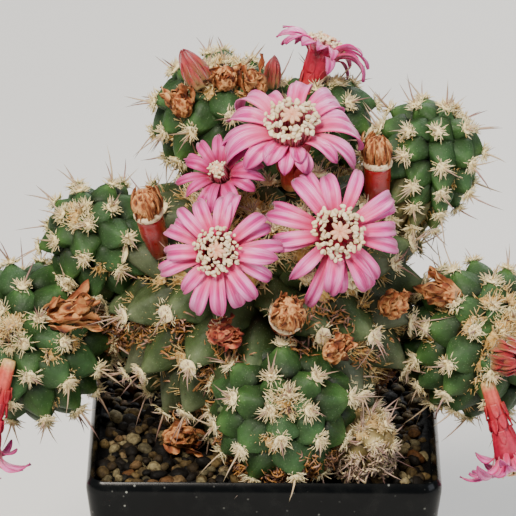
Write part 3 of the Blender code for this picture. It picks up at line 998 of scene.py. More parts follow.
@dataclass
class Head:
    """One round stem with its tubercles, spines and wool.

    Attributes:
        node: The solid it stands for.
        centre: The middle of the stem.
        crown: The direction of its growing point.
        radius: Its widest radius, over the tubercle tips.
        half_height: Half its height along crown, over the tubercle tips.
        length: The length of a full tubercle.
        tubercles: How many tubercles it has, all round.
        seed: The seed of its chance variation.
        age: How old it is.
        keel: How rhombic its tubercles are: 2 is round, 1 is square on its corner.
        lean: How far the tubercles of the flanks lean away from the crown, in radians.
        spine_length: The length of its star spines.
        hairs: How many wool hairs an areole has.
        axil_wool: The share of axils that hold a tuft.
        blunt: How blunt its tubercles are: 1 is a cone, 2 is a dome.
    """

    node: str
    centre: tuple[float, float, float]
    crown: tuple[float, float, float]
    radius: float
    half_height: float
    length: float
    tubercles: int
    seed: int
    age: Age = Age.YOUNG
    keel: float = 1.20
    lean: float = 0.72
    spine_length: float = 3.3
    hairs: int = 46
    axil_wool: float = 0.12
    blunt: float = 1.40

    def __post_init__(self) -> None:
        """Works out where its tubercles stand."""
        self.turn = np.array(Vector(self.crown).normalized().to_track_quat("Z", "Y").to_matrix())
        self.random = np.random.default_rng(self.seed)
        r = self.random
        self.core = np.array([self.radius, self.radius, self.half_height]) - ROOT_DEPTH * self.length
        index = np.arange(self.tubercles) + 0.5
        self.polar = SPIRAL_END * ((index + 0.2) / (self.tubercles + 0.2)) ** 0.72
        around = GOLDEN_ANGLE * index + r.normal(0.0, 0.035, self.tubercles)
        polar = self.polar
        sphere = np.stack([np.sin(polar) * np.cos(around), np.sin(polar) * np.sin(around), np.cos(polar)], axis=1)
        self.foot = sphere * self.core
        self.out = unit(sphere / self.core)
        down = np.array([0.0, 0.0, -1.0]) + self.out * self.out[:, 2:3]
        self.down = unit(down)
        self.side = np.cross(self.out, self.down)
        lean = self.lean * np.sin(polar) ** 0.8 + r.normal(0.0, 0.05, self.tubercles)
        self.axis = unit(self.out * np.cos(lean)[:, None] + self.down * np.sin(lean)[:, None])
        grown = np.clip(0.38 + 0.70 * polar / 0.95, 0.38, 1.0)
        self.reach = self.length * grown * r.uniform(0.88, 1.12, self.tubercles)
        middle = self.foot + self.axis * (0.5 * self.reach)[:, None]
        gaps = np.linalg.norm(middle[:, None] - middle[None, :], axis=2)
        gaps = np.sort(gaps, axis=1)[:, 1:4].mean(axis=1)
        self.girth = GIRTH_SHARE * gaps
        self.tone = r.random(self.tubercles)
        sag = (TIP_SAG * self.reach * np.sin(polar))[:, None]
        self.tips = self.foot + self.axis * self.reach[:, None] + self.down * sag
        self.aim = unit(self.axis + 0.55 * self.out)

    def world(self, points: np.ndarray) -> np.ndarray:
        """Points of the head's own frame taken to the model's."""
        return points @ self.turn.T + np.array(self.centre)

    def covers(self, point: np.ndarray) -> bool:
        """Whether a point of the model's frame lies inside this head."""
        local = (point - np.array(self.centre)) @ self.turn
        return float(np.sum((local / (self.core + 0.45 * self.length)) ** 2)) < 1.0

    def build(self, heads: list["Head"]) -> None:
        """Makes the flesh, the spines and the wool.

        Args:
            heads: Every head, so that no spine grows inside a neighbour.
        """
        skin, spine, wool = STEM_FINISHES[self.age]
        piece(f"{self.node}_flesh", self.flesh(), skin, (self.node,))
        others = [head for head in heads if head is not self]
        free = [not any(other.covers(tip) for other in others) for tip in self.world(self.tips)]
        self.here = np.flatnonzero(free)
        piece(f"{self.node}_spines", self.spines(), spine)
        piece(f"{self.node}_wool", self.wool(), wool)
        axils = self.axils()
        if axils:
            piece(f"{self.node}_axil_wool", axils, wool)

    def flesh(self) -> Shape:
        """The tubercles, each a rounded four-sided cone, standing on a lumpy core."""
        form = strand_form(20, 10)
        along = form.points[:, 2] ** 0.85
        angle = np.arctan2(form.points[:, 1], form.points[:, 0])
        past = np.clip((along - 0.14) / 0.86, 0.0, 1.0)
        width = np.maximum((1.0 - past**self.blunt) ** 0.88, 0.15) * (0.90 + 0.10 * np.clip(along / 0.3, 0, 1))
        power = self.keel + (2.0 - self.keel) * along**4
        corner = (np.abs(np.cos(angle)) ** power + np.abs(np.sin(angle)) ** power) ** (-1.0 / power)
        shapes = []
        for k in range(self.tubercles):
            up = np.cross(self.side[k], self.axis[k])
            wide = self.girth[k] * width * corner
            uneven = 1.0 + 0.05 * np.sin(angle * 3 + k * 1.7 + along * 4) + 0.04 * np.sin(angle * 5 + k * 2.3)
            points = self.foot[k] + self.axis[k] * (along * self.reach[k])[:, None]
            points = points + self.side[k] * (np.cos(angle) * wide * uneven)[:, None]
            points = points + up * (np.sin(angle) * wide * uneven * 0.92)[:, None]
            bend = TIP_SAG * self.reach[k] * math.sin(self.polar[k]) * along**2
            points = points + self.down[k] * bend[:, None]
            values = {
                "rise": along,
                "tone": np.full(len(along), self.tone[k]),
                "age": np.full(len(along), self.polar[k] / math.pi),
            }
            shapes.append(Shape(points, form.loops, form.counts, values))
        deselect()
        bpy.ops.mesh.primitive_cube_add(size=2.0)
        bpy.ops.object.mode_set(mode="EDIT")
        bpy.ops.mesh.subdivide(number_cuts=24)
        bpy.ops.transform.tosphere(value=1.0)
        bpy.ops.mesh.normals_make_consistent(inside=False)
        bpy.ops.object.mode_set(mode="OBJECT")
        core = Shape.take(bpy.context.object)
        core.points = unit(core.points)
        lumps = np.array([noise.noise(Vector(p) * 6.0) for p in core.points])
        # The core has rise 0, so it takes the skin's near-black axil colour: painted shade in the gaps between the
        # tubercles.
        core.values = {
            "rise": np.zeros(len(lumps)),
            "tone": np.full(len(lumps), 0.5),
            "age": np.arccos(np.clip(core.points[:, 2], -1, 1)) / math.pi,
        }
        core.points = core.points * (self.core + 0.10 * self.length) * (1.0 + 0.03 * lumps)[:, None]
        whole = Shape.joined([core, *shapes])
        whole.points = self.world(whole.points)
        return whole

    def spines(self) -> Shape:
        """The star of short spines at each areole, and its longer middle spines."""
        r = self.random
        paths: list[np.ndarray] = []
        radii: list[float] = []
        tones: list[float] = []
        for k in self.here:
            tip, aim, polar = self.tips[k], self.aim[k], self.polar[k]
            across = bases(aim[None, :], np.array([r.uniform(0, 6.28)]))[0]
            young = max(0.0, 1.0 - polar / 0.75)
            count = int(r.integers(8, 12) + 4 * young)
            size = self.spine_length * (0.75 + 0.35 * min(1.0, polar / 1.2))
            for turn in range(count):
                angle = 2 * math.pi * (turn + r.uniform(-0.3, 0.3)) / count
                out = across[:, 0] * math.cos(angle) + across[:, 1] * math.sin(angle)
                length = size * r.uniform(0.55, 1.10)
                lift = 0.35 + 0.8 * young + r.uniform(-0.15, 0.3)
                end = tip + unit(out + aim * lift) * length
                pull = tip + unit(out + aim * (lift + 0.4)) * length * 0.5
                paths.append(np.stack([tip - aim * 0.3 + out * 0.4, pull, end]))
                radii.append(r.uniform(0.24, 0.33))
                tones.append(r.uniform(0.0, 0.30) + 0.20 * young)
            for _ in range(1 + int(r.random() < 0.55) + int(young > 0.4)):
                angle = r.uniform(0, 2 * math.pi)
                out = across[:, 0] * math.cos(angle) + across[:, 1] * math.sin(angle)
                length = self.spine_length * r.uniform(1.4, 2.9) * (1.0 - 0.35 * young)
                way = unit(aim + out * r.uniform(0.1, 0.7))
                end = tip + way * length + out * 0.15 * length
                paths.append(np.stack([tip - aim * 0.3, tip + way * length * 0.5, end]))
                radii.append(r.uniform(0.26, 0.34))
                tones.append(r.uniform(0.45, 1.0))
        crown = np.array([0.0, 0.0, self.core[2] + 0.25 * self.length])
        disc = 0.24 * self.length + 0.5
        for _ in range(CROWN_SPINES):
            angle = r.uniform(0, 2 * math.pi)
            foot = crown + disc * math.sqrt(r.random()) * np.array([math.cos(angle), math.sin(angle), 0.0])
            way = unit(np.array([r.normal(0, 0.7), r.normal(0, 0.7), 1.0]))
            length = self.length * r.uniform(0.22, 0.40)
            paths.append(np.stack([foot, foot + way * length * 0.5, foot + way * length]))
            radii.append(r.uniform(0.18, 0.26))
            tones.append(r.uniform(0.9, 1.0))
        shape = strands(strand_form(4, 3), np.array(paths), np.array(radii), 0.65, tone=np.array(tones))
        shape.points = self.world(shape.points)
        return shape

    def wool(self) -> Shape:
        """The felt pads at the areoles, and the ring of new wool round the crown."""
        young = np.clip(1 - self.polar / 0.8, 0, 1)
        spread = (0.30 * self.girth + 0.25) * (1 + 0.25 * young)
        pads = self.tuft(self.here, self.tips, self.aim, self.hairs, spread, 1.0 + 0.5 * young, 0.16)
        up = np.array([[0.0, 0.0, 1.0]])
        place = (self.core[2] + 0.28 * self.length) * up
        ring = np.array([0.36 * self.length + 0.6])
        height = np.array([0.22 * self.length])
        crown = self.tuft(np.array([0]), place, up, CROWN_HAIRS, ring, height, 0.24, hollow=0.55)
        whole = Shape.joined([pads, crown])
        whole.points = self.world(whole.points)
        return whole

    def axils(self) -> Shape | None:
        """The matted tufts between some of the tubercles, if there are any."""
        wanted = self.random.random(len(self.here)) < self.axil_wool
        tufted = self.here[wanted & (self.polar[self.here] > 0.35)]
        if not len(tufted):
            return None
        origins = self.foot - self.down * (0.95 * self.girth)[:, None] + self.out * (0.26 * self.length)
        height = np.full(len(origins), 0.20 * self.length)
        whole = self.tuft(tufted, origins, self.out, AXIL_HAIRS, 0.52 * self.girth, height, 0.92, thick=0.20)
        whole.points = self.world(whole.points)
        return whole

    def tuft(
        self,
        which: np.ndarray,
        origins: np.ndarray,
        ways: np.ndarray,
        hairs: int,
        spread: np.ndarray,
        size: np.ndarray,
        old: float,
        hollow: float = 0.0,
        thick: float = 0.15,
    ) -> Shape:
        """Tufts of short curled hairs, each on a lump of felt unless it is hollow.

        Args:
            which: The tubercles that have one.
            origins: Where each tubercle's tuft is rooted.
            ways: The way each one stands.
            hairs: How many hairs a tuft has.
            spread: The radius of each tuft's foot.
            size: The length of each tuft's hairs.
            old: How tan the wool is, from 0 to 1.
            hollow: The share of its radius that is bare in the middle.
            thick: The radius of a hair.

        Returns:
            The hairs and the felt, in the head's own frame.
        """
        r = self.random
        index = np.repeat(which, hairs)
        amount = len(index)
        aim = ways[index]
        turns = bases(aim, np.zeros(amount))
        angle = r.uniform(0, 2 * math.pi, amount)
        reach = np.sqrt(r.uniform(hollow**2, 1.0, amount))
        out = turns[:, :, 0] * np.cos(angle)[:, None] + turns[:, :, 1] * np.sin(angle)[:, None]
        start = origins[index] + out * (reach * spread[index])[:, None] - aim * 0.45
        length = size[index] * r.uniform(0.8, 1.7, amount)
        wander = r.normal(0.0, 0.45, (amount, 3))
        way = unit(aim * (1.1 - 0.6 * reach)[:, None] + out * reach[:, None] + 0.5 * wander)
        pull = start + way * (0.6 * length)[:, None]
        end = pull + unit(way + wander) * (0.6 * length)[:, None]
        tone = np.clip(r.normal(old, 0.22, amount), 0, 1)
        paths = np.stack([start, pull, end], axis=1)
        hair = strands(strand_form(3, 2), paths, np.full(amount, thick), 0.5, 0.3, tone=tone)
        if hollow:
            return hair
        felt = Shape.take(added(bpy.ops.mesh.primitive_ico_sphere_add, subdivisions=2, radius=1.0))
        lumps = np.array([noise.noise(Vector(p) * 2.3) for p in felt.points])
        felt.points *= (1.0 + 0.35 * lumps)[:, None]
        turns = bases(ways[which], r.uniform(0, 2 * math.pi, len(which)))
        wide = FELT_SHARE * spread[which]
        sizes = np.stack([wide, wide * r.uniform(0.8, 1.1, len(which)), 0.42 * size[which]], axis=1)
        lump = felt.copied(places(turns, origins[which], sizes), tone=np.full(len(which), old))
        return Shape.joined([hair, lump])


# ---------------------------------------------------------------- flowers

FLOWER_UNIT = 17.0
LOW_SIDE = np.array([0.0, -0.75, -0.66])
PETAL_ROWS = 13
PETAL_COLUMNS = 6
BEND_STEPS = 33
# The part of a turn between one stamen and the next.
GOLDEN_TURN = 0.381966
TUBE_SCALES = 5
# Radius, and depth below the rim, of the funnel's inner side in a flower of FLOWER_UNIT.
TUBE_THROAT = ((0.0, 5.0), (1.5, 4.8), (3.2, 3.4), (4.3, 1.0), (4.7, 0.0))
# The funnel's outer radius at its foot, neck, bell and rim.
TUBE_RADII = np.array([2.4, 2.9, 4.2, 4.8])
# Each whorl's petal length as a share of the flower's reach, and its half width.
WHORL_REACH = (0.96, 1.0, 0.84)
WHORL_WIDTH = (2.22, 2.15, 1.7)


def petal_form(rows: int = PETAL_ROWS, columns: int = PETAL_COLUMNS) -> Shape:
    """A flat petal blank from -1 to 1 across and 0 to 1 along, with a thickness of 1 below it.

    Args:
        rows: How many faces it has along.
        columns: How many faces it has across.

    Returns:
        The blank.
    """
    grid = added(bpy.ops.mesh.primitive_grid_add, x_subdivisions=columns, y_subdivisions=rows, size=2.0)
    with_modifier(grid, "SOLIDIFY", thickness=1.0, offset=-1.0, use_even_offset=False)
    shape = Shape.take(grid)
    shape.points[:, 1] = (shape.points[:, 1] + 1.0) / 2.0
    return shape


@dataclass
class Blade:
    """How one petal, scale or dried strip is cut and bent.

    Attributes:
        around: Its angle about the flower's axis.
        radius: How far from the axis it starts.
        height: How high it starts.
        length: Its length along the bend.
        width: Half its greatest width.
        rise: The angle above level at its base.
        droop: The angle above level at its tip.
        channel: How much its edges lift above its middle, in half widths.
        waist: Its width at the base as a share of its greatest.
        crumple: The size of its chance creases.
        twist: How far its tip is turned about its length.
        thickness: Its thickness.
        widest: Where along it it is widest.
    """

    around: float
    radius: float
    height: float
    length: float
    width: float
    rise: float
    droop: float
    channel: float = 0.25
    waist: float = 0.42
    crumple: float = 0.25
    twist: float = 0.0
    thickness: float = 0.28
    widest: float = 0.62

    def shape(self, form: Shape, random: np.random.Generator) -> Shape:
        """Cuts and bends a blank.

        Args:
            form: The flat blank.
            random: Where its chance creases come from.

        Returns:
            The bent blade about +Z, with the values across, along and fold.
        """
        across = form.points[:, 0]
        along = form.points[:, 1]
        depth = form.points[:, 2] * self.thickness
        steps = np.linspace(0.0, 1.0, BEND_STEPS)
        angle = self.rise + (self.droop - self.rise) * steps**0.85
        reach = np.concatenate([[0.0], np.cumsum((np.cos(angle)[1:] + np.cos(angle)[:-1]) / 2)]) / (BEND_STEPS - 1)
        climb = np.concatenate([[0.0], np.cumsum((np.sin(angle)[1:] + np.sin(angle)[:-1]) / 2)]) / (BEND_STEPS - 1)
        line_out = self.radius + self.length * np.interp(along, steps, reach)
        line_up = self.height + self.length * np.interp(along, steps, climb)
        tilt = np.interp(along, steps, angle)
        swell = self.waist + (1 - self.waist) * np.sin(np.minimum(along, self.widest) / self.widest * math.pi / 2)
        past = np.clip((along - self.widest) / (1 - self.widest), 0.0, 1.0)
        width = self.width * swell * (0.04 + 0.96 * (1 - past**2.0) ** 0.80)
        phase = random.uniform(0, 20, 3)
        wave = np.sin(along * 7.0 + phase[0]) * across + np.sin(along * 11.0 + across * 3.0 + phase[1]) * 0.5
        wave = wave + np.sin(across * 5.0 + along * 4.0 + phase[2]) * 0.35
        lift = self.channel * width * across**2 + self.crumple * wave * np.minimum(1.0, along * 2.0)
        turn = self.twist * along
        sideways = across * width
        side = sideways * np.cos(turn) - lift * np.sin(turn)
        normal = lift * np.cos(turn) + sideways * np.sin(turn) + depth
        out = line_out - np.sin(tilt) * normal
        up = line_up + np.cos(tilt) * normal
        cos, sin = math.cos(self.around), math.sin(self.around)
        points = np.stack([out * cos - side * sin, out * sin + side * cos, up], axis=1)
        # fold rises and falls with the crumple that lifts the blade; the dried finishes paint shade and light from
        # it.
        values = {"across": across.copy(), "along": along.copy(), "fold": np.clip(0.5 + 0.35 * wave, 0, 1)}
        return Shape(points, form.loops, form.counts, values)


def blades_joined(blades: list[Blade], form: Shape, random: np.random.Generator) -> Shape:
    """Bends and joins blades, each with its own chance tone.

    Args:
        blades: The blades.
        form: The flat blank that they are cut from.
        random: Where their creases and tones come from.

    Returns:
        All blades as one shape.
    """
    shapes = []
    for blade in blades:
        shape = blade.shape(form, random)
        shape.values["tone"] = np.full(len(shape.points), random.random())
        shapes.append(shape)
    return Shape.joined(shapes)


@dataclass
class Flower:
    """An open flower: its tube, petals, stamens and pistil.

    Attributes:
        node: The start of its solids' names.
        seat: Its foot.
        facing: The way it faces.
        tube: The height of its petals above the foot.
        radius: The reach of its petals.
        cup: How far the petal tips stand above flat, in radii.
        seed: The seed of its chance variation.
        inner: How many inner petals it has, and as many outer ones.
        deep: Whether it is the deeper pink of a flower that is still opening.
        stamens: How many stamens it has.
        bunch: How close together the stamens stand: 1 is an open ring, less is a clump.
        hollow: The share of the ring's middle that is bare of stamens.
        cut_back: How much shorter the petals on its low side are.
    """

    node: str
    seat: tuple[float, float, float]
    facing: tuple[float, float, float]
    tube: float
    radius: float
    cup: float
    seed: int
    inner: int = 8
    deep: bool = False
    stamens: int = 125
    bunch: float = 1.0
    hollow: float = 0.48
    cut_back: float = 0.0

    def build(self) -> None:
        """Makes the flower's five pieces."""
        self.random = np.random.default_rng(self.seed)
        self.scale = self.radius / FLOWER_UNIT
        self.rim = self.tube - 2.6 * self.scale
        self.place = facing_matrix(self.seat, self.facing)
        self.build_tube()
        self.build_petals()
        self.build_stamens()
        self.build_pistil()

    def build_tube(self) -> None:
        """Makes the funnel under the petals, with its scale leaves."""
        s = self.scale
        rim = self.rim
        outer = [(5.0, rim), (4.75, rim - 2.2 * s), (4.3, rim - 5.0 * s), (3.5, rim - 7.8 * s), (2.9, rim - 10.0 * s)]
        outer = [(r * s, z) for r, z in outer if z > 1.2]
        profile = [(radius * s, rim - below * s) for radius, below in TUBE_THROAT]
        profile += outer + [(2.4 * s, 0.8), (2.1 * s, 0.0), (0.0, -0.2)]
        shape = turned(profile, 28)
        around = np.arctan2(shape.points[:, 1], shape.points[:, 0])
        rib = 1.0 + 0.035 * np.sin(around * 9) * np.clip(shape.points[:, 2] / rim, 0, 1)
        shape.points[:, :2] *= rib[:, None]
        shape.values = {"along": np.clip(shape.points[:, 2] / rim, 0, 1), "tone": 0.5 + 0.5 * np.sin(around * 9)}
        form = petal_form(8, 4)
        scales = []
        rows = 3 if self.tube > 18 else 2
        for row in range(rows):
            for k in range(TUBE_SCALES):
                height = rim * (0.30 + 0.50 * row / rows) + self.random.uniform(-0.5, 0.5)
                levels = [0, max(1.0, rim - 9 * s), rim - 5 * s, rim]
                radius = float(np.interp(height, levels, TUBE_RADII * s))
                scales.append(
                    Blade(
                        2 * math.pi * (k + 0.5 * row) / TUBE_SCALES + self.random.uniform(-0.2, 0.2),
                        radius,
                        height,
                        5.0 * s,
                        1.3 * s,
                        math.radians(84),
                        math.radians(72),
                        -0.2,
                        0.9,
                        0.08,
                        widest=0.35,
                    )
                )
        leaves = blades_joined(scales, form, self.random)
        leaves.values["along"] = np.clip(leaves.points[:, 2] / rim, 0, 1)
        whole = Shape.joined([shape, leaves]).moved(self.place)
        piece(f"{self.node}_tube_skin", whole, TUBE, (f"{self.node}_tube",))

    def build_petals(self) -> None:
        """Makes the whorls of petals, the outer ones longer and more bent back."""
        s = self.scale
        blades: list[Blade] = []
        start = 3.6 * s
        for whorl in range(3):
            count = (self.inner, self.inner, max(3, self.inner - 5))[whorl]
            for k in range(count):
                r = self.random
                rise = math.radians(60 + 45 * self.cup - 8 * whorl + r.normal(0, 6))
                droop = math.radians(-92 + 95 * self.cup - 8 * whorl + r.normal(0, 14))
                steps = np.linspace(0, 1, 20)
                flat = float(np.mean(np.cos(rise + (droop - rise) * steps**0.85)))
                reach = (self.radius - start) * WHORL_REACH[whorl] * r.uniform(0.83, 1.06)
                around = 2 * math.pi * (k + 0.5 * (whorl % 2) + 0.25 * (whorl // 2)) / count + r.normal(0, 0.11)
                low = max(0.0, float(self.place[:3, :2] @ [math.cos(around), math.sin(around)] @ LOW_SIDE)) ** 2
                reach *= 1.0 - self.cut_back * low
                droop += self.cut_back * low * 0.9
                blades.append(
                    Blade(
                        around,
                        start + 0.25 * s * whorl,
                        self.rim - 1.4 * s - 0.5 * s * whorl,
                        reach / max(flat, 0.45),
                        WHORL_WIDTH[whorl] * s * r.uniform(0.82, 1.16),
                        rise,
                        droop,
                        0.30 - 0.1 * whorl,
                        0.40,
                        0.30 * s,
                        r.normal(0, 0.16),
                        widest=r.uniform(0.52, 0.66),
                    )
                )
        shape = blades_joined(blades, petal_form(), self.random).moved(self.place)
        piece(f"{self.node}_corolla", shape, PETAL_DEEP if self.deep else PETAL, (f"{self.node}_petals",))

    def build_stamens(self) -> None:
        """Makes the ring of filaments, each with its anther."""
        s = self.scale
        r = self.random
        count = self.stamens
        around = 2 * math.pi * np.arange(count) * GOLDEN_TURN + r.normal(0, 0.1, count)
        ring = np.sqrt(r.uniform(self.hollow**2, 1.0, count))
        out = np.stack([np.cos(around), np.sin(around), np.zeros(count)], axis=1)
        foot = out * (1.9 * s + 1.6 * s * ring)[:, None]
        foot[:, 2] = self.rim - 4.5 * s
        reach = (6.5 * s * ring * self.bunch)[:, None]
        tip = out * reach + r.normal(0, 0.42 * s, (count, 3))
        tip[:, 2] += self.rim + s * (6.4 - 2.6 * ring * self.bunch) + r.normal(0, 0.35 * s, count)
        pull = (foot + tip) / 2 + out * (0.4 * s)
        pull[:, 2] += 1.0 * s
        threads = strands(strand_form(5, 4), np.stack([foot, pull, tip], axis=1), np.full(count, 0.19), 0.3, 0.5)
        threads.values["tone"] = np.repeat(r.random(count), len(threads.points) // count)
        piece(f"{self.node}_filaments", threads.moved(self.place), FILAMENT)
        ball = Shape.take(added(bpy.ops.mesh.primitive_ico_sphere_add, subdivisions=2, radius=1.0))
        ball.points[:, 2] *= 0.62
        ball.points[:, 0] *= 0.66
        ball.points[:, 2] += 0.22 * ball.points[:, 1] ** 2
        ways = unit(out * 0.5 + r.normal(0, 0.5, (count, 3)) + np.array([0.0, 0.0, 1.0]))
        turns = bases(ways, r.uniform(0, 2 * math.pi, count))
        sizes = 0.74 * s * r.uniform(0.75, 1.2, count)
        anthers = ball.copied(places(turns, tip, sizes), tone=r.random(count), along=r.random(count))
        piece(f"{self.node}_anthers", anthers.moved(self.place), ANTHER, (f"{self.node}_stamens",))

    def build_pistil(self) -> None:
        """Makes the style and the star of stigma lobes at its end."""
        s = self.scale
        r = self.random
        top = self.rim + 5.6 * s
        lobes = 8
        around = 2 * math.pi * (np.arange(lobes) + r.uniform(-0.15, 0.15, lobes)) / lobes
        out = np.stack([np.cos(around), np.sin(around), np.zeros(lobes)], axis=1)
        start = np.tile([0.0, 0.0, top - 0.3 * s], (lobes, 1)) + out * 0.2
        pull = start + out * (1.2 * s) + np.array([0.0, 0.0, 0.9 * s])
        end = start + out * (2.5 * s * r.uniform(0.85, 1.1, lobes))[:, None] + np.array([0.0, 0.0, 0.55 * s])
        star = strands(strand_form(8, 6), np.stack([start, pull, end], axis=1), np.full(lobes, 0.80 * s), 0.45, 0.35)
        style_path = np.array([[[0.0, 0.0, self.rim - 8.0 * s], [0.2, 0.0, self.rim], [0.0, 0.0, top]]])
        style = strands(strand_form(10, 6), style_path, np.array([0.6 * s]), 0.2, 0.8)
        whole = Shape.joined([star, style])
        whole.values["tone"] = np.full(len(whole.points), 0.2)
        piece(f"{self.node}_stigma", whole.moved(self.place), STIGMA, (f"{self.node}_pistil",))


@dataclass
class Bud:
    """A closed bud wrapped in pointed scales.

    Attributes:
        node: The solid it stands for.
        seat: Its foot.
        facing: The way it points.
        length: Its length.
        radius: Its greatest radius.
        seed: The seed of its chance variation.
    """

    node: str
    seat: tuple[float, float, float]
    facing: tuple[float, float, float]
    length: float
    radius: float
    seed: int

    def build(self) -> None:
        """Makes the bud's core and its three whorls of scales."""
        random = np.random.default_rng(self.seed)
        core = turned(
            [(0.0, 0.93), (0.28, 0.80), (0.62, 0.62), (0.86, 0.42), (0.86, 0.24), (0.62, 0.06), (0.0, 0.0)], 24
        )
        core.points *= np.array([self.radius, self.radius, self.length])
        core.values = {
            "across": np.zeros(len(core.points)),
            "along": core.points[:, 2] / self.length,
            "tone": np.full(len(core.points), 0.8),
        }
        blades = []
        for whorl in range(3):
            count = 6
            for k in range(count):
                low = 0.10 + 0.14 * whorl
                blades.append(
                    Blade(
                        2 * math.pi * (k + 0.5 * whorl) / count + random.normal(0, 0.08),
                        self.radius * (0.80 + 0.06 * (2 - whorl)),
                        self.length * low,
                        self.length * (0.86 - 0.12 * (2 - whorl)) * random.uniform(0.92, 1.04),
                        self.radius * 0.52,
                        math.radians(76),
                        math.radians(112 + 8 * whorl),
                        -0.30,
                        0.85,
                        0.06,
                        random.normal(0, 0.1),
                        widest=0.30,
                    )
                )
        scales = blades_joined(blades, petal_form(), random)
        whole = Shape.joined([core, scales]).moved(facing_matrix(self.seat, self.facing))
        piece(f"{self.node}_scales", whole, BUD, (self.node,))


# ---------------------------------------------------------------- fruits and dried flowers

CAP_STRIPS = 30
DRIED_STRIPS = 20


@dataclass
class Fruit:
    """A club-shaped berry with the dried flower still on its end.

    Attributes:
        node: The start of its solids' names.
        seat: Its foot.
        facing: The way it points.
        length: Its length.
        radius: Its greatest radius.
        seed: The seed of its chance variation.
    """

    node: str
    seat: tuple[float, float, float]
    facing: tuple[float, float, float]
    length: float
    radius: float
    seed: int

    def build(self) -> None:
        """Makes the berry, its pale collar and the fibrous cap."""
        random = np.random.default_rng(self.seed)
        place = facing_matrix(self.seat, self.facing)
        heights = np.linspace(1.0, 0.0, 15)
        girth = 0.50 + 0.50 * np.sin(np.clip(heights * 1.45, 0, 1) * math.pi / 2)
        profile = [(0.0, 1.0), (0.70, 1.0)] + [(g, h) for g, h in zip(girth, heights * 0.97)] + [(0.0, 0.0)]
        berry = turned([(r * self.radius, z * self.length) for r, z in profile], 36)
        bumps = np.array([noise.noise(Vector(p) * 0.45 + Vector((self.seed, 0, 0))) for p in berry.points])
        berry.points[:, :2] *= (1.0 + 0.07 * bumps)[:, None]
        berry.values = {"along": berry.points[:, 2] / self.length, "tone": np.clip(0.5 + bumps, 0, 1)}
        piece(f"{self.node}_berry_skin", berry.moved(place), BERRY, (f"{self.node}_berry",))
        self.collar(place)
        self.cap(random, place)

    def collar(self, place: np.ndarray) -> None:
        """Makes the ring of corky tissue where the flower dried off.

        Args:
            place: The matrix that stands the fruit in its place.
        """
        ring = added(
            bpy.ops.mesh.primitive_torus_add,
            major_segments=72,
            minor_segments=14,
            major_radius=0.86 * self.radius,
            minor_radius=0.22 * self.radius,
        )
        shape = Shape.take(ring)
        shape.points[:, 2] = shape.points[:, 2] * 1.2 + self.length + 0.1
        lumps = np.array([ridged(p + self.seed, 0.9, 3) for p in shape.points])
        shape.points[:, :2] *= (1.0 + 0.10 * lumps)[:, None]
        shape.points[:, 2] += 0.35 * lumps
        # Both values follow the lumps: the collar is painted tan and darker in the dips between them, which is
        # painted shade.
        shape.values = {"along": np.clip(lumps, 0, 1), "tone": np.clip(1.0 - lumps, 0, 1)}
        piece(f"{self.node}_collar", shape.moved(place), COLLAR)

    def cap(self, random: np.random.Generator, place: np.ndarray) -> None:
        """Makes the bundle of dried petals above the collar.

        Args:
            random: Where its chance variation comes from.
            place: The matrix that stands the fruit in its place.
        """
        radius = self.radius
        start = self.length + 0.3
        core = Shape.take(added(bpy.ops.mesh.primitive_ico_sphere_add, subdivisions=5, radius=1.0))
        sphere = core.points.copy()
        folds = np.array([ridged(p * np.array([2.4, 2.4, 0.7]) + self.seed, 1.1, 4) for p in sphere])
        core.points = sphere * np.array([1.0, 1.0, 1.08]) * (1.0 + 0.20 * (folds - 0.4))[:, None] * radius
        core.points[:, 2] += start + 1.0 * radius
        # fold follows the creases that shape the core, for painted shade in them and painted light on the ridges.
        core.values = {"fold": np.clip(folds, 0, 1), "tone": np.full(len(sphere), 0.3)}
        blades = []
        for k in range(CAP_STRIPS):
            blades.append(
                Blade(
                    2 * math.pi * k / CAP_STRIPS + random.normal(0, 0.15),
                    radius * random.uniform(0.80, 1.02),
                    start + random.uniform(-0.2, 0.5) * radius * 0.5,
                    radius * random.uniform(1.7, 2.5),
                    radius * random.uniform(0.10, 0.24),
                    math.radians(random.uniform(62, 84)),
                    math.radians(random.uniform(105, 150)),
                    random.uniform(-1.2, 1.2),
                    0.7,
                    0.16,
                    random.normal(0, 1.4),
                    0.15,
                )
            )
        whole = Shape.joined([core, blades_joined(blades, petal_form(10, 4), random)])
        piece(f"{self.node}_cap_fibres", whole.moved(place), DRIED, (f"{self.node}_cap",))


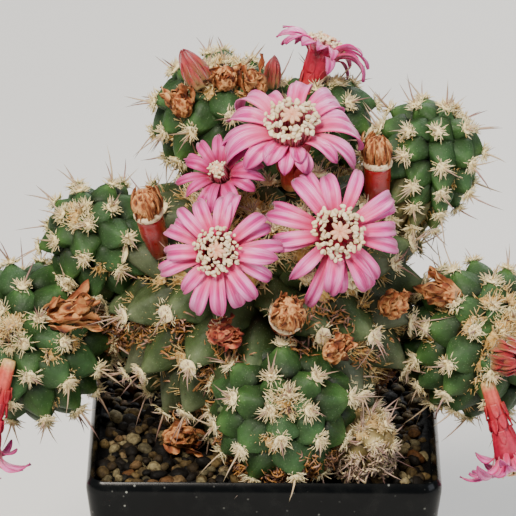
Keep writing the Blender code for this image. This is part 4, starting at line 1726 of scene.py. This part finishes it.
@dataclass
class DriedFlower:
    """A withered flower that lies crumpled against a stem.

    Attributes:
        node: The solid it stands for.
        seat: Its middle.
        facing: The way it points.
        length: Its length.
        radius: Its greatest radius.
        seed: The seed of its chance variation.
        red: Whether it has dried red and not straw brown.
    """

    node: str
    seat: tuple[float, float, float]
    facing: tuple[float, float, float]
    length: float
    radius: float
    seed: int
    red: bool = False

    def build(self) -> None:
        """Makes the crumpled core and the curled strips round it."""
        random = np.random.default_rng(self.seed)
        half = 0.5 * self.length
        core = Shape.take(added(bpy.ops.mesh.primitive_ico_sphere_add, subdivisions=5, radius=1.0))
        sphere = core.points.copy()
        folds = np.array([ridged(p + self.seed * 1.7, 1.5, 4) for p in sphere])
        stretch = np.array([0.80 * self.radius, 0.68 * self.radius, 0.86 * half])
        core.points = sphere * (1.0 + 0.42 * (folds - 0.45))[:, None] * stretch
        # fold follows the creases that shape the core, for painted shade in them and painted light on the ridges.
        core.values = {"fold": np.clip(folds, 0, 1), "tone": np.full(len(sphere), random.random() * 0.6)}
        blades = []
        for k in range(DRIED_STRIPS):
            blades.append(
                Blade(
                    2 * math.pi * k / DRIED_STRIPS + random.normal(0, 0.3),
                    self.radius * random.uniform(0.15, 0.7),
                    half * random.uniform(-0.9, 0.2),
                    half * random.uniform(0.9, 1.5),
                    self.radius * random.uniform(0.22, 0.42),
                    math.radians(random.uniform(45, 80)),
                    math.radians(random.uniform(40, 170)),
                    random.uniform(-1.3, 1.3),
                    0.6,
                    0.55,
                    random.normal(0, 1.2),
                    0.18,
                    random.uniform(0.4, 0.7),
                )
            )
        whole = Shape.joined([core, blades_joined(blades, petal_form(12, 6), random)])
        finish = DRIED_RED if self.red else DRIED
        piece(f"{self.node}_crumpled", whole.moved(facing_matrix(self.seat, self.facing)), finish, (self.node,))


# ---------------------------------------------------------------- pot and gravel

GRIT_SEED = 77
GRIT_FORMS = 6
# Each layer's spacing, height over the gravel's level, and least and greatest stone radius.
GRIT_LAYERS = ((2.8, -0.6, 1.3, 1.9), (4.2, 0.5, 1.2, 2.7))
# The gap between the gravel and the pot's walls.
BED_GAP = 0.3
# The round patch without stones where the main stem's neck goes down.
NECK_CENTRE = (0.5, 6.0)
NECK_RADIUS = 17.0
THATCH_SEED = 5
# How far the fibres of a clump lie from its middle.
CLUMP_SPREAD = 2.1


@dataclass
class Pot:
    """The square tapered nursery pot, with its gravel and its mix.

    Attributes:
        top: Its width at the rim.
        base: Its width at the foot.
        height: Its height.
        wall: The thickness of its walls.
        floor: The thickness of its floor.
        corner: The radius of its upright corners.
        drain: The radius of its drainage holes.
        drain_offset: How far from the middle they are along both sides.
        gravel_top: The height of the gravel.
    """

    top: float = 90.0
    base: float = 71.0
    height: float = 80.0
    wall: float = 1.2
    floor: float = 1.6
    corner: float = 5.0
    drain: float = 4.0
    drain_offset: float = 21.0
    gravel_top: float = 71.5

    def build(self) -> None:
        """Makes the pot, the gravel and the looks of what lies under it."""
        self.build_shell()
        self.build_gravel()
        for node, finish in (("potting_mix", SOIL), ("taproot", CORK)):
            solid = bpy.data.objects[node]
            solid.data.materials.clear()
            solid.data.materials.append(finish.material())

    def block(self, low: float, high: float, inset: float) -> bpy.types.Object:
        """A tapered block with rounded upright edges, which follows the pot's walls.

        Args:
            low: The height of its underside.
            high: The height of its top.
            inset: How far inside the pot's outer face it lies.

        Returns:
            The block, in millimetres.
        """
        widths = [np.interp(z, [0, self.height], [self.base, self.top]) - 2 * inset for z in (low, high)]
        obj = added(bpy.ops.mesh.primitive_cube_add, size=1.0, location=(0.0, 0.0, 0.5))
        for vertex in obj.data.vertices:
            level = int(vertex.co.z > 0.5)
            vertex.co.x = math.copysign(widths[level] / 2, vertex.co.x)
            vertex.co.y = math.copysign(widths[level] / 2, vertex.co.y)
            vertex.co.z = (low, high)[level]
        deselect()
        obj.select_set(True)
        bpy.context.view_layer.objects.active = obj
        for edge in obj.data.edges:
            first, second = (obj.data.vertices[i].co.z for i in edge.vertices)
            edge.select = abs(first - second) > 1.0
        for polygon in obj.data.polygons:
            polygon.select = False
        bpy.ops.object.mode_set(mode="EDIT")
        bpy.ops.mesh.select_mode(type="EDGE")
        bpy.ops.mesh.bevel(offset=max(1.0, self.corner - inset), segments=8, affect="EDGES")
        bpy.ops.object.mode_set(mode="OBJECT")
        return obj

    def build_shell(self) -> None:
        """Makes the thin-walled pot with a rounded rim and drainage holes."""
        shell = self.block(0.0, self.height, 0.0)
        hollow = self.block(self.floor, self.height + 4.0, self.wall)
        cutters = [hollow]
        for x in (-1, 1):
            for y in (-1, 1):
                place = (x * self.drain_offset, y * self.drain_offset, 0.0)
                cutters.append(
                    added(
                        bpy.ops.mesh.primitive_cylinder_add, vertices=48, radius=self.drain, depth=8.0, location=place
                    )
                )
        for cutter in cutters:
            with_modifier(shell, "BOOLEAN", operation="DIFFERENCE", solver="EXACT", object=cutter)
            bpy.data.objects.remove(cutter, do_unlink=True)
        with_modifier(shell, "BEVEL", width=0.32, segments=3, limit_method="ANGLE", angle_limit=math.radians(50))
        shape = Shape.take(shell)
        obj = piece("pot_shell", shape, POT, ("pot",))
        deselect()
        obj.select_set(True)
        bpy.context.view_layer.objects.active = obj
        bpy.ops.object.shade_smooth_by_angle(angle=math.radians(35))

    def build_gravel(self) -> None:
        """Makes the bed of rounded grit on a near-black slab, which is painted shade in the gaps between the stones.
        """
        random = np.random.default_rng(GRIT_SEED)
        # The slab takes tone 0, the grit's near-black colour: a dark sheet that paints the shade under and between
        # the stones.
        painted_shade_slab = Shape.take(self.block(self.gravel_top - 4.0, self.gravel_top - 0.8, self.wall + BED_GAP))
        painted_shade_slab.values = {"tone": np.zeros(len(painted_shade_slab.points))}
        half = np.interp(self.gravel_top, [0, self.height], [self.base, self.top]) / 2 - self.wall - BED_GAP
        stones = [painted_shade_slab]
        forms = []
        for k in range(GRIT_FORMS):
            form = Shape.take(added(bpy.ops.mesh.primitive_ico_sphere_add, subdivisions=2, radius=1.0))
            lumps = np.array([noise.noise(Vector(p) * 0.9 + Vector((k * 7.3, 1.0, 2.0))) for p in form.points])
            fine = np.array([noise.noise(Vector(p) * 2.6 + Vector((k * 3.1, 5.0, 2.0))) for p in form.points])
            form.points *= (1.0 + 0.38 * lumps + 0.10 * fine)[:, None]
            form.points *= np.array([1.0, random.uniform(0.72, 0.95), random.uniform(0.6, 0.85)])
            forms.append(form)
        origins = []
        sizes = []
        for spacing, height, low, high in GRIT_LAYERS:
            steps = np.arange(-half + 0.8, half - 0.6, spacing)
            grid = np.stack(np.meshgrid(steps, steps), axis=-1).reshape(-1, 2)
            grid = grid + random.uniform(-0.42, 0.42, grid.shape) * spacing
            size = low + (high - low) * random.random(len(grid)) ** 1.6
            level = self.gravel_top + height + random.uniform(-0.5, 0.5, len(grid))
            limit = half - 0.75 * size
            inside = (np.abs(grid[:, 0]) < limit) & (np.abs(grid[:, 1]) < limit)
            clear = np.hypot(grid[:, 0] - NECK_CENTRE[0], grid[:, 1] - NECK_CENTRE[1]) > NECK_RADIUS
            keep = inside & clear
            origins.append(np.column_stack([grid, level])[keep])
            sizes.append(size[keep])
        origin = np.concatenate(origins)
        size = np.concatenate(sizes)
        ways = unit(np.array([0.0, 0.0, 1.0]) + random.normal(0, 0.35, (len(origin), 3)))
        turns = bases(ways, random.uniform(0, 2 * math.pi, len(origin)))
        tone = random.random(len(origin))
        kind = random.integers(0, len(forms), len(origin))
        for k, form in enumerate(forms):
            mine = kind == k
            stones.append(form.copied(places(turns[mine], origin[mine], size[mine]), tone=tone[mine]))
        piece("grit_bed", Shape.joined(stones), GRIT, ("gravel_dressing",))


@dataclass
class Thatch:
    """The tangle of shed spines and dry fibres caught between the heads.

    Attributes:
        name: The piece's name.
        centre: The middle of the head, or of the gap between heads, that they lie round.
        reach: How far from it the fibres lie.
        clumps: How many clumps there are.
        amount: How many fibres there are.
        polar: The least and greatest angle of a clump from straight up, in radians.
        lowest: The height below which there are none.
        finish: What they are made of.
    """

    name: str
    centre: tuple[float, float, float]
    reach: float
    clumps: int
    amount: int
    polar: tuple[float, float] = (1.25, 2.35)
    lowest: float = 75.0
    finish: Finish = FIBRE

    def build(self) -> None:
        """Makes the fibres, in clumps round the centre."""
        r = np.random.default_rng(THATCH_SEED)
        polar = r.uniform(*self.polar, self.clumps)
        around = 2 * math.pi * (np.arange(self.clumps) + r.uniform(0, 0.7, self.clumps)) / self.clumps
        which = r.integers(0, self.clumps, self.amount)
        spread = CLUMP_SPREAD / self.reach
        polar = polar[which] + r.normal(0, spread, self.amount)
        around = around[which] + r.normal(0, spread, self.amount)
        out = np.stack([np.sin(polar) * np.cos(around), np.sin(polar) * np.sin(around), np.cos(polar)], axis=1)
        middle = np.array(self.centre) + out * (self.reach * r.uniform(0.90, 1.04, self.amount))[:, None]
        keep = middle[:, 2] > self.lowest
        middle = middle[keep]
        amount = len(middle)
        way = unit(r.normal(0, 1, (amount, 3)))
        length = r.uniform(1.6, 4.6, amount)[:, None]
        pull = middle + r.normal(0, 1.2, (amount, 3))
        paths = np.stack([middle - way * length / 2, pull, middle + way * length / 2], axis=1)
        tone = r.random(amount)
        shape = strands(strand_form(3, 3), paths, r.uniform(0.16, 0.36, amount), 0.5, 0.3, tone=tone)
        piece(self.name, shape, self.finish)


# ---------------------------------------------------------------- the plant

STEM_FINISHES = {
    Age.OLD: (SKIN_OLD, SPINE_OLD, WOOL),
    Age.YOUNG: (SKIN_YOUNG, SPINE_YOUNG, WOOL),
    Age.DRY: (SKIN_DRY, SPINE_OLD, WOOL_STRAW),
}

HEADS = [
    Head(
        "stem_main",
        (0.5, 6.0, 109.4),
        (0.0, -0.62, 0.79),
        40.5,
        34.5,
        13.5,
        158,
        1,
        Age.OLD,
        keel=1.10,
        lean=0.72,
        spine_length=3.6,
        hairs=38,
        axil_wool=0.8,
        blunt=1.15,
    ),
    Head("stem_front", (4.4, -28.0, 92.1), (0.05, -0.87, 0.50), 18.5, 16.5, 8.0, 62, 2),
    Head("stem_lower_left", (-59.5, 1.0, 97.0), (-0.35, -0.80, 0.48), 20.5, 19.0, 8.0, 84, 3),
    Head("stem_upper_left", (-41.5, 5.0, 124.0), (-0.50, -0.46, 0.73), 15.0, 15.5, 7.0, 58, 4),
    Head("stem_lower_right", (54.0, -1.0, 99.5), (0.50, -0.68, 0.54), 20.0, 20.0, 8.0, 84, 5, axil_wool=0.3),
    Head("stem_upper_right", (38.9, 15.0, 141.0), (0.55, 0.30, 0.78), 14.5, 19.0, 6.8, 74, 6),
    Head("stem_back_left", (-11.6, 27.0, 149.3), (0.0, -0.10, 1.0), 17.5, 17.5, 7.2, 68, 7, axil_wool=0.3),
    Head("stem_back_right", (13.5, 33.0, 145.0), (0.10, 0.10, 1.0), 14.5, 14.5, 6.8, 52, 8),
    Head(
        "stem_offset",
        (25.0, -26.0, 83.0),
        (0.20, -0.40, 0.90),
        8.0,
        8.0,
        3.6,
        30,
        9,
        Age.DRY,
        keel=1.6,
        lean=0.6,
        spine_length=3.0,
        hairs=40,
        axil_wool=0.8,
    ),
]

THATCHES = [
    Thatch("dry_fibres_main", (0.5, 6.0, 106.0), 35.6, 60, 4200),
    Thatch("dry_fibres_left", (-40.0, 1.5, 101.0), 5.5, 12, 900, (0.4, 2.8)),
    Thatch("dry_fibres_front", (4.4, -25.0, 90.0), 18.0, 24, 1500, (1.95, 2.55), 73.5),
    Thatch("dry_fibres_offset", (24.0, -26.0, 80.0), 8.8, 14, 700, (0.8, 2.2), 73.5, SPINE_OLD),
]

FLOWERS = [
    Flower("flower_front_left", (-9.9, -18.4, 128.5), (-0.10, -0.88, 0.47), 20.0, 15.0, 0.10, 11, hollow=0.2),
    Flower("flower_front_right", (15.5, -12.3, 132.4), (0.12, -0.90, 0.42), 20.0, 17.0, 0.10, 12),
    Flower("flower_top", (6.3, -0.2, 141.3), (0.0, -0.47, 0.88), 23.5, 18.0, 0.15, 13, 9, cut_back=0.5),
    Flower("flower_crown", (-8.6, -3.6, 139.4), (-0.20, -0.68, 0.69), 16.0, 11.0, 0.42, 14, 8, True, 60, 0.5, 0.0),
    Flower("flower_back", (9.0, 28.0, 153.5), (0.40, 0.30, 0.85), 15.0, 13.0, 0.45, 15, 8),
    Flower("flower_hanging_left", (-64.3, -16.5, 99.8), (-0.25, -0.20, -0.95), 26.0, 12.5, 0.55, 16, 8),
    Flower("flower_hanging_right", (56.0, -18.0, 95.5), (0.30, -0.25, -0.92), 22.0, 13.0, 0.55, 17, 8),
]

BUDS = [
    Bud("bud_back_left", (-15.6, 17.6, 160.5), (-0.50, 0.10, 0.85), 9.6, 2.8, 21),
    Bud("bud_back_centre", (1.0, 22.5, 158.5), (0.10, 0.0, 1.0), 7.6, 1.7, 22),
    Bud("bud_right", (59.0, -17.6, 102.5), (0.60, -0.75, 0.20), 9.0, 3.8, 23),
]

FRUITS = [
    Fruit("fruit_left", (-26.4, -10.5, 126.0), (-0.20, -0.30, 0.93), 14.0, 3.4, 31),
    Fruit("fruit_right", (28.0, 2.0, 133.0), (0.0, -0.10, 1.0), 14.0, 3.4, 32),
    Fruit("fruit_front", (4.4, -25.0, 113.5), (0.10, -0.80, 0.60), 9.0, 4.0, 33),
]

DRIED_FLOWERS = [
    DriedFlower("dried_flower_1", (-49.9, -10.5, 110.5), (0.90, -0.10, 0.35), 13.0, 4.0, 41),
    DriedFlower("dried_flower_2", (44.5, -9.5, 116.0), (-0.95, -0.10, 0.25), 11.0, 3.8, 42),
    DriedFlower("dried_flower_3", (32.2, -18.0, 116.2), (0.20, -0.60, 0.80), 8.0, 4.4, 43),
    DriedFlower("dried_flower_4", (17.6, -30.5, 109.3), (0.50, -0.30, 0.60), 8.0, 3.6, 44),
    DriedFlower("dried_flower_5", (-11.0, -31.2, 113.7), (0.80, -0.40, 0.30), 8.0, 3.4, 45, True),
    DriedFlower("dried_flower_6", (-21.5, -13.0, 77.4), (0.90, -0.30, 0.20), 10.0, 3.8, 46),
    DriedFlower("dried_flower_7", (-21.6, 13.2, 157.8), (-0.30, -0.30, 0.90), 8.0, 3.6, 47),
    DriedFlower("dried_flower_8", (-3.2, 16.2, 162.0), (-0.40, -0.20, 0.90), 9.0, 3.2, 48),
    DriedFlower("dried_flower_9", (-10.4, 15.0, 164.0), (0.10, -0.30, 0.95), 7.0, 3.4, 49),
]


# ---------------------------------------------------------------- studio

FLOOR_SIDE = 12.0
SENSOR_WIDTH = 36.0
FAR_CLIP = 20.0
LIGHT_TARGET = (0.0, 0.0, 0.1)


@dataclass
class Studio:
    """The floor, the lights and the camera.

    Attributes:
        aim: The point that the camera looks at, in millimetres.
        distance: How far the camera is from it, in millimetres.
        elevation: How far above level the camera stands, in degrees.
        roll: How far the camera leans to its left, in degrees.
        lens: Its focal length on a 36 mm wide sensor.
    """

    aim: tuple[float, float, float] = (-1.893, -21.6, 130.27)
    distance: float = 1306.1
    elevation: float = 22.585
    roll: float = 0.4
    lens: float = 366.18

    def build(self) -> None:
        """Makes the studio."""
        self.floor()
        self.camera()
        self.light("key", (-0.35, -0.70, 1.05), 0.40, 27.0, "#fff6ea")
        self.light("fill", (0.85, -0.55, 0.55), 0.70, 6.0, "#eef4ff")
        self.light("back", (0.25, 0.80, 0.90), 0.60, 12.0, "#ffffff")
        world = bpy.data.worlds.new("studio_air")
        world.use_nodes = True
        background = world.node_tree.nodes["Background"]
        background.inputs["Color"].default_value = linear("#eceef0")
        background.inputs["Strength"].default_value = 0.24
        bpy.context.scene.world = world

    def floor(self) -> None:
        """Makes the pale floor."""
        plane = added(bpy.ops.mesh.primitive_plane_add, size=FLOOR_SIDE)
        plane.name = "floor"
        plane.data.materials.append(FLOOR.material())

    def camera(self) -> None:
        """Makes the camera."""
        tilt = math.radians(self.elevation)
        view = Vector((0.0, math.cos(tilt), -math.sin(tilt)))
        data = bpy.data.cameras.new("camera")
        data.lens = self.lens
        data.sensor_width = SENSOR_WIDTH
        data.clip_end = FAR_CLIP
        obj = bpy.data.objects.new("camera", data)
        obj.location = Vector(self.aim) * MM - view * self.distance * MM
        facing = view.to_track_quat("-Z", "Y").to_matrix()
        obj.rotation_euler = (facing @ Matrix.Rotation(math.radians(self.roll), 3, "Z")).to_euler()
        bpy.context.scene.collection.objects.link(obj)
        bpy.context.scene.camera = obj

    @staticmethod
    def light(name: str, place: tuple[float, float, float], size: float, power: float, colour: str) -> None:
        """Adds a soft square light that faces the plant.

        Args:
            name: The light's name.
            place: Where it stands, in metres.
            size: The length of its side, in metres.
            power: Its power in watts.
            colour: Its sRGB colour.
        """
        data = bpy.data.lights.new(name, "AREA")
        data.size = size
        data.energy = power
        data.color = linear(colour)[:3]
        obj = bpy.data.objects.new(name, data)
        obj.location = place
        obj.rotation_euler = (Vector(LIGHT_TARGET) - Vector(place)).to_track_quat("-Z", "Y").to_euler()
        bpy.context.scene.collection.objects.link(obj)


def main() -> None:
    """Builds the pot, the plant and the studio."""
    logging.basicConfig(level=logging.INFO, format="%(name)s: %(message)s")
    Pot().build()
    for head in HEADS:
        head.build(HEADS)
    for part in (*FLOWERS, *BUDS, *FRUITS, *DRIED_FLOWERS):
        part.build()
    for thatch in THATCHES:
        thatch.build()
    Studio().build()


if __name__ == "__main__":
    main()
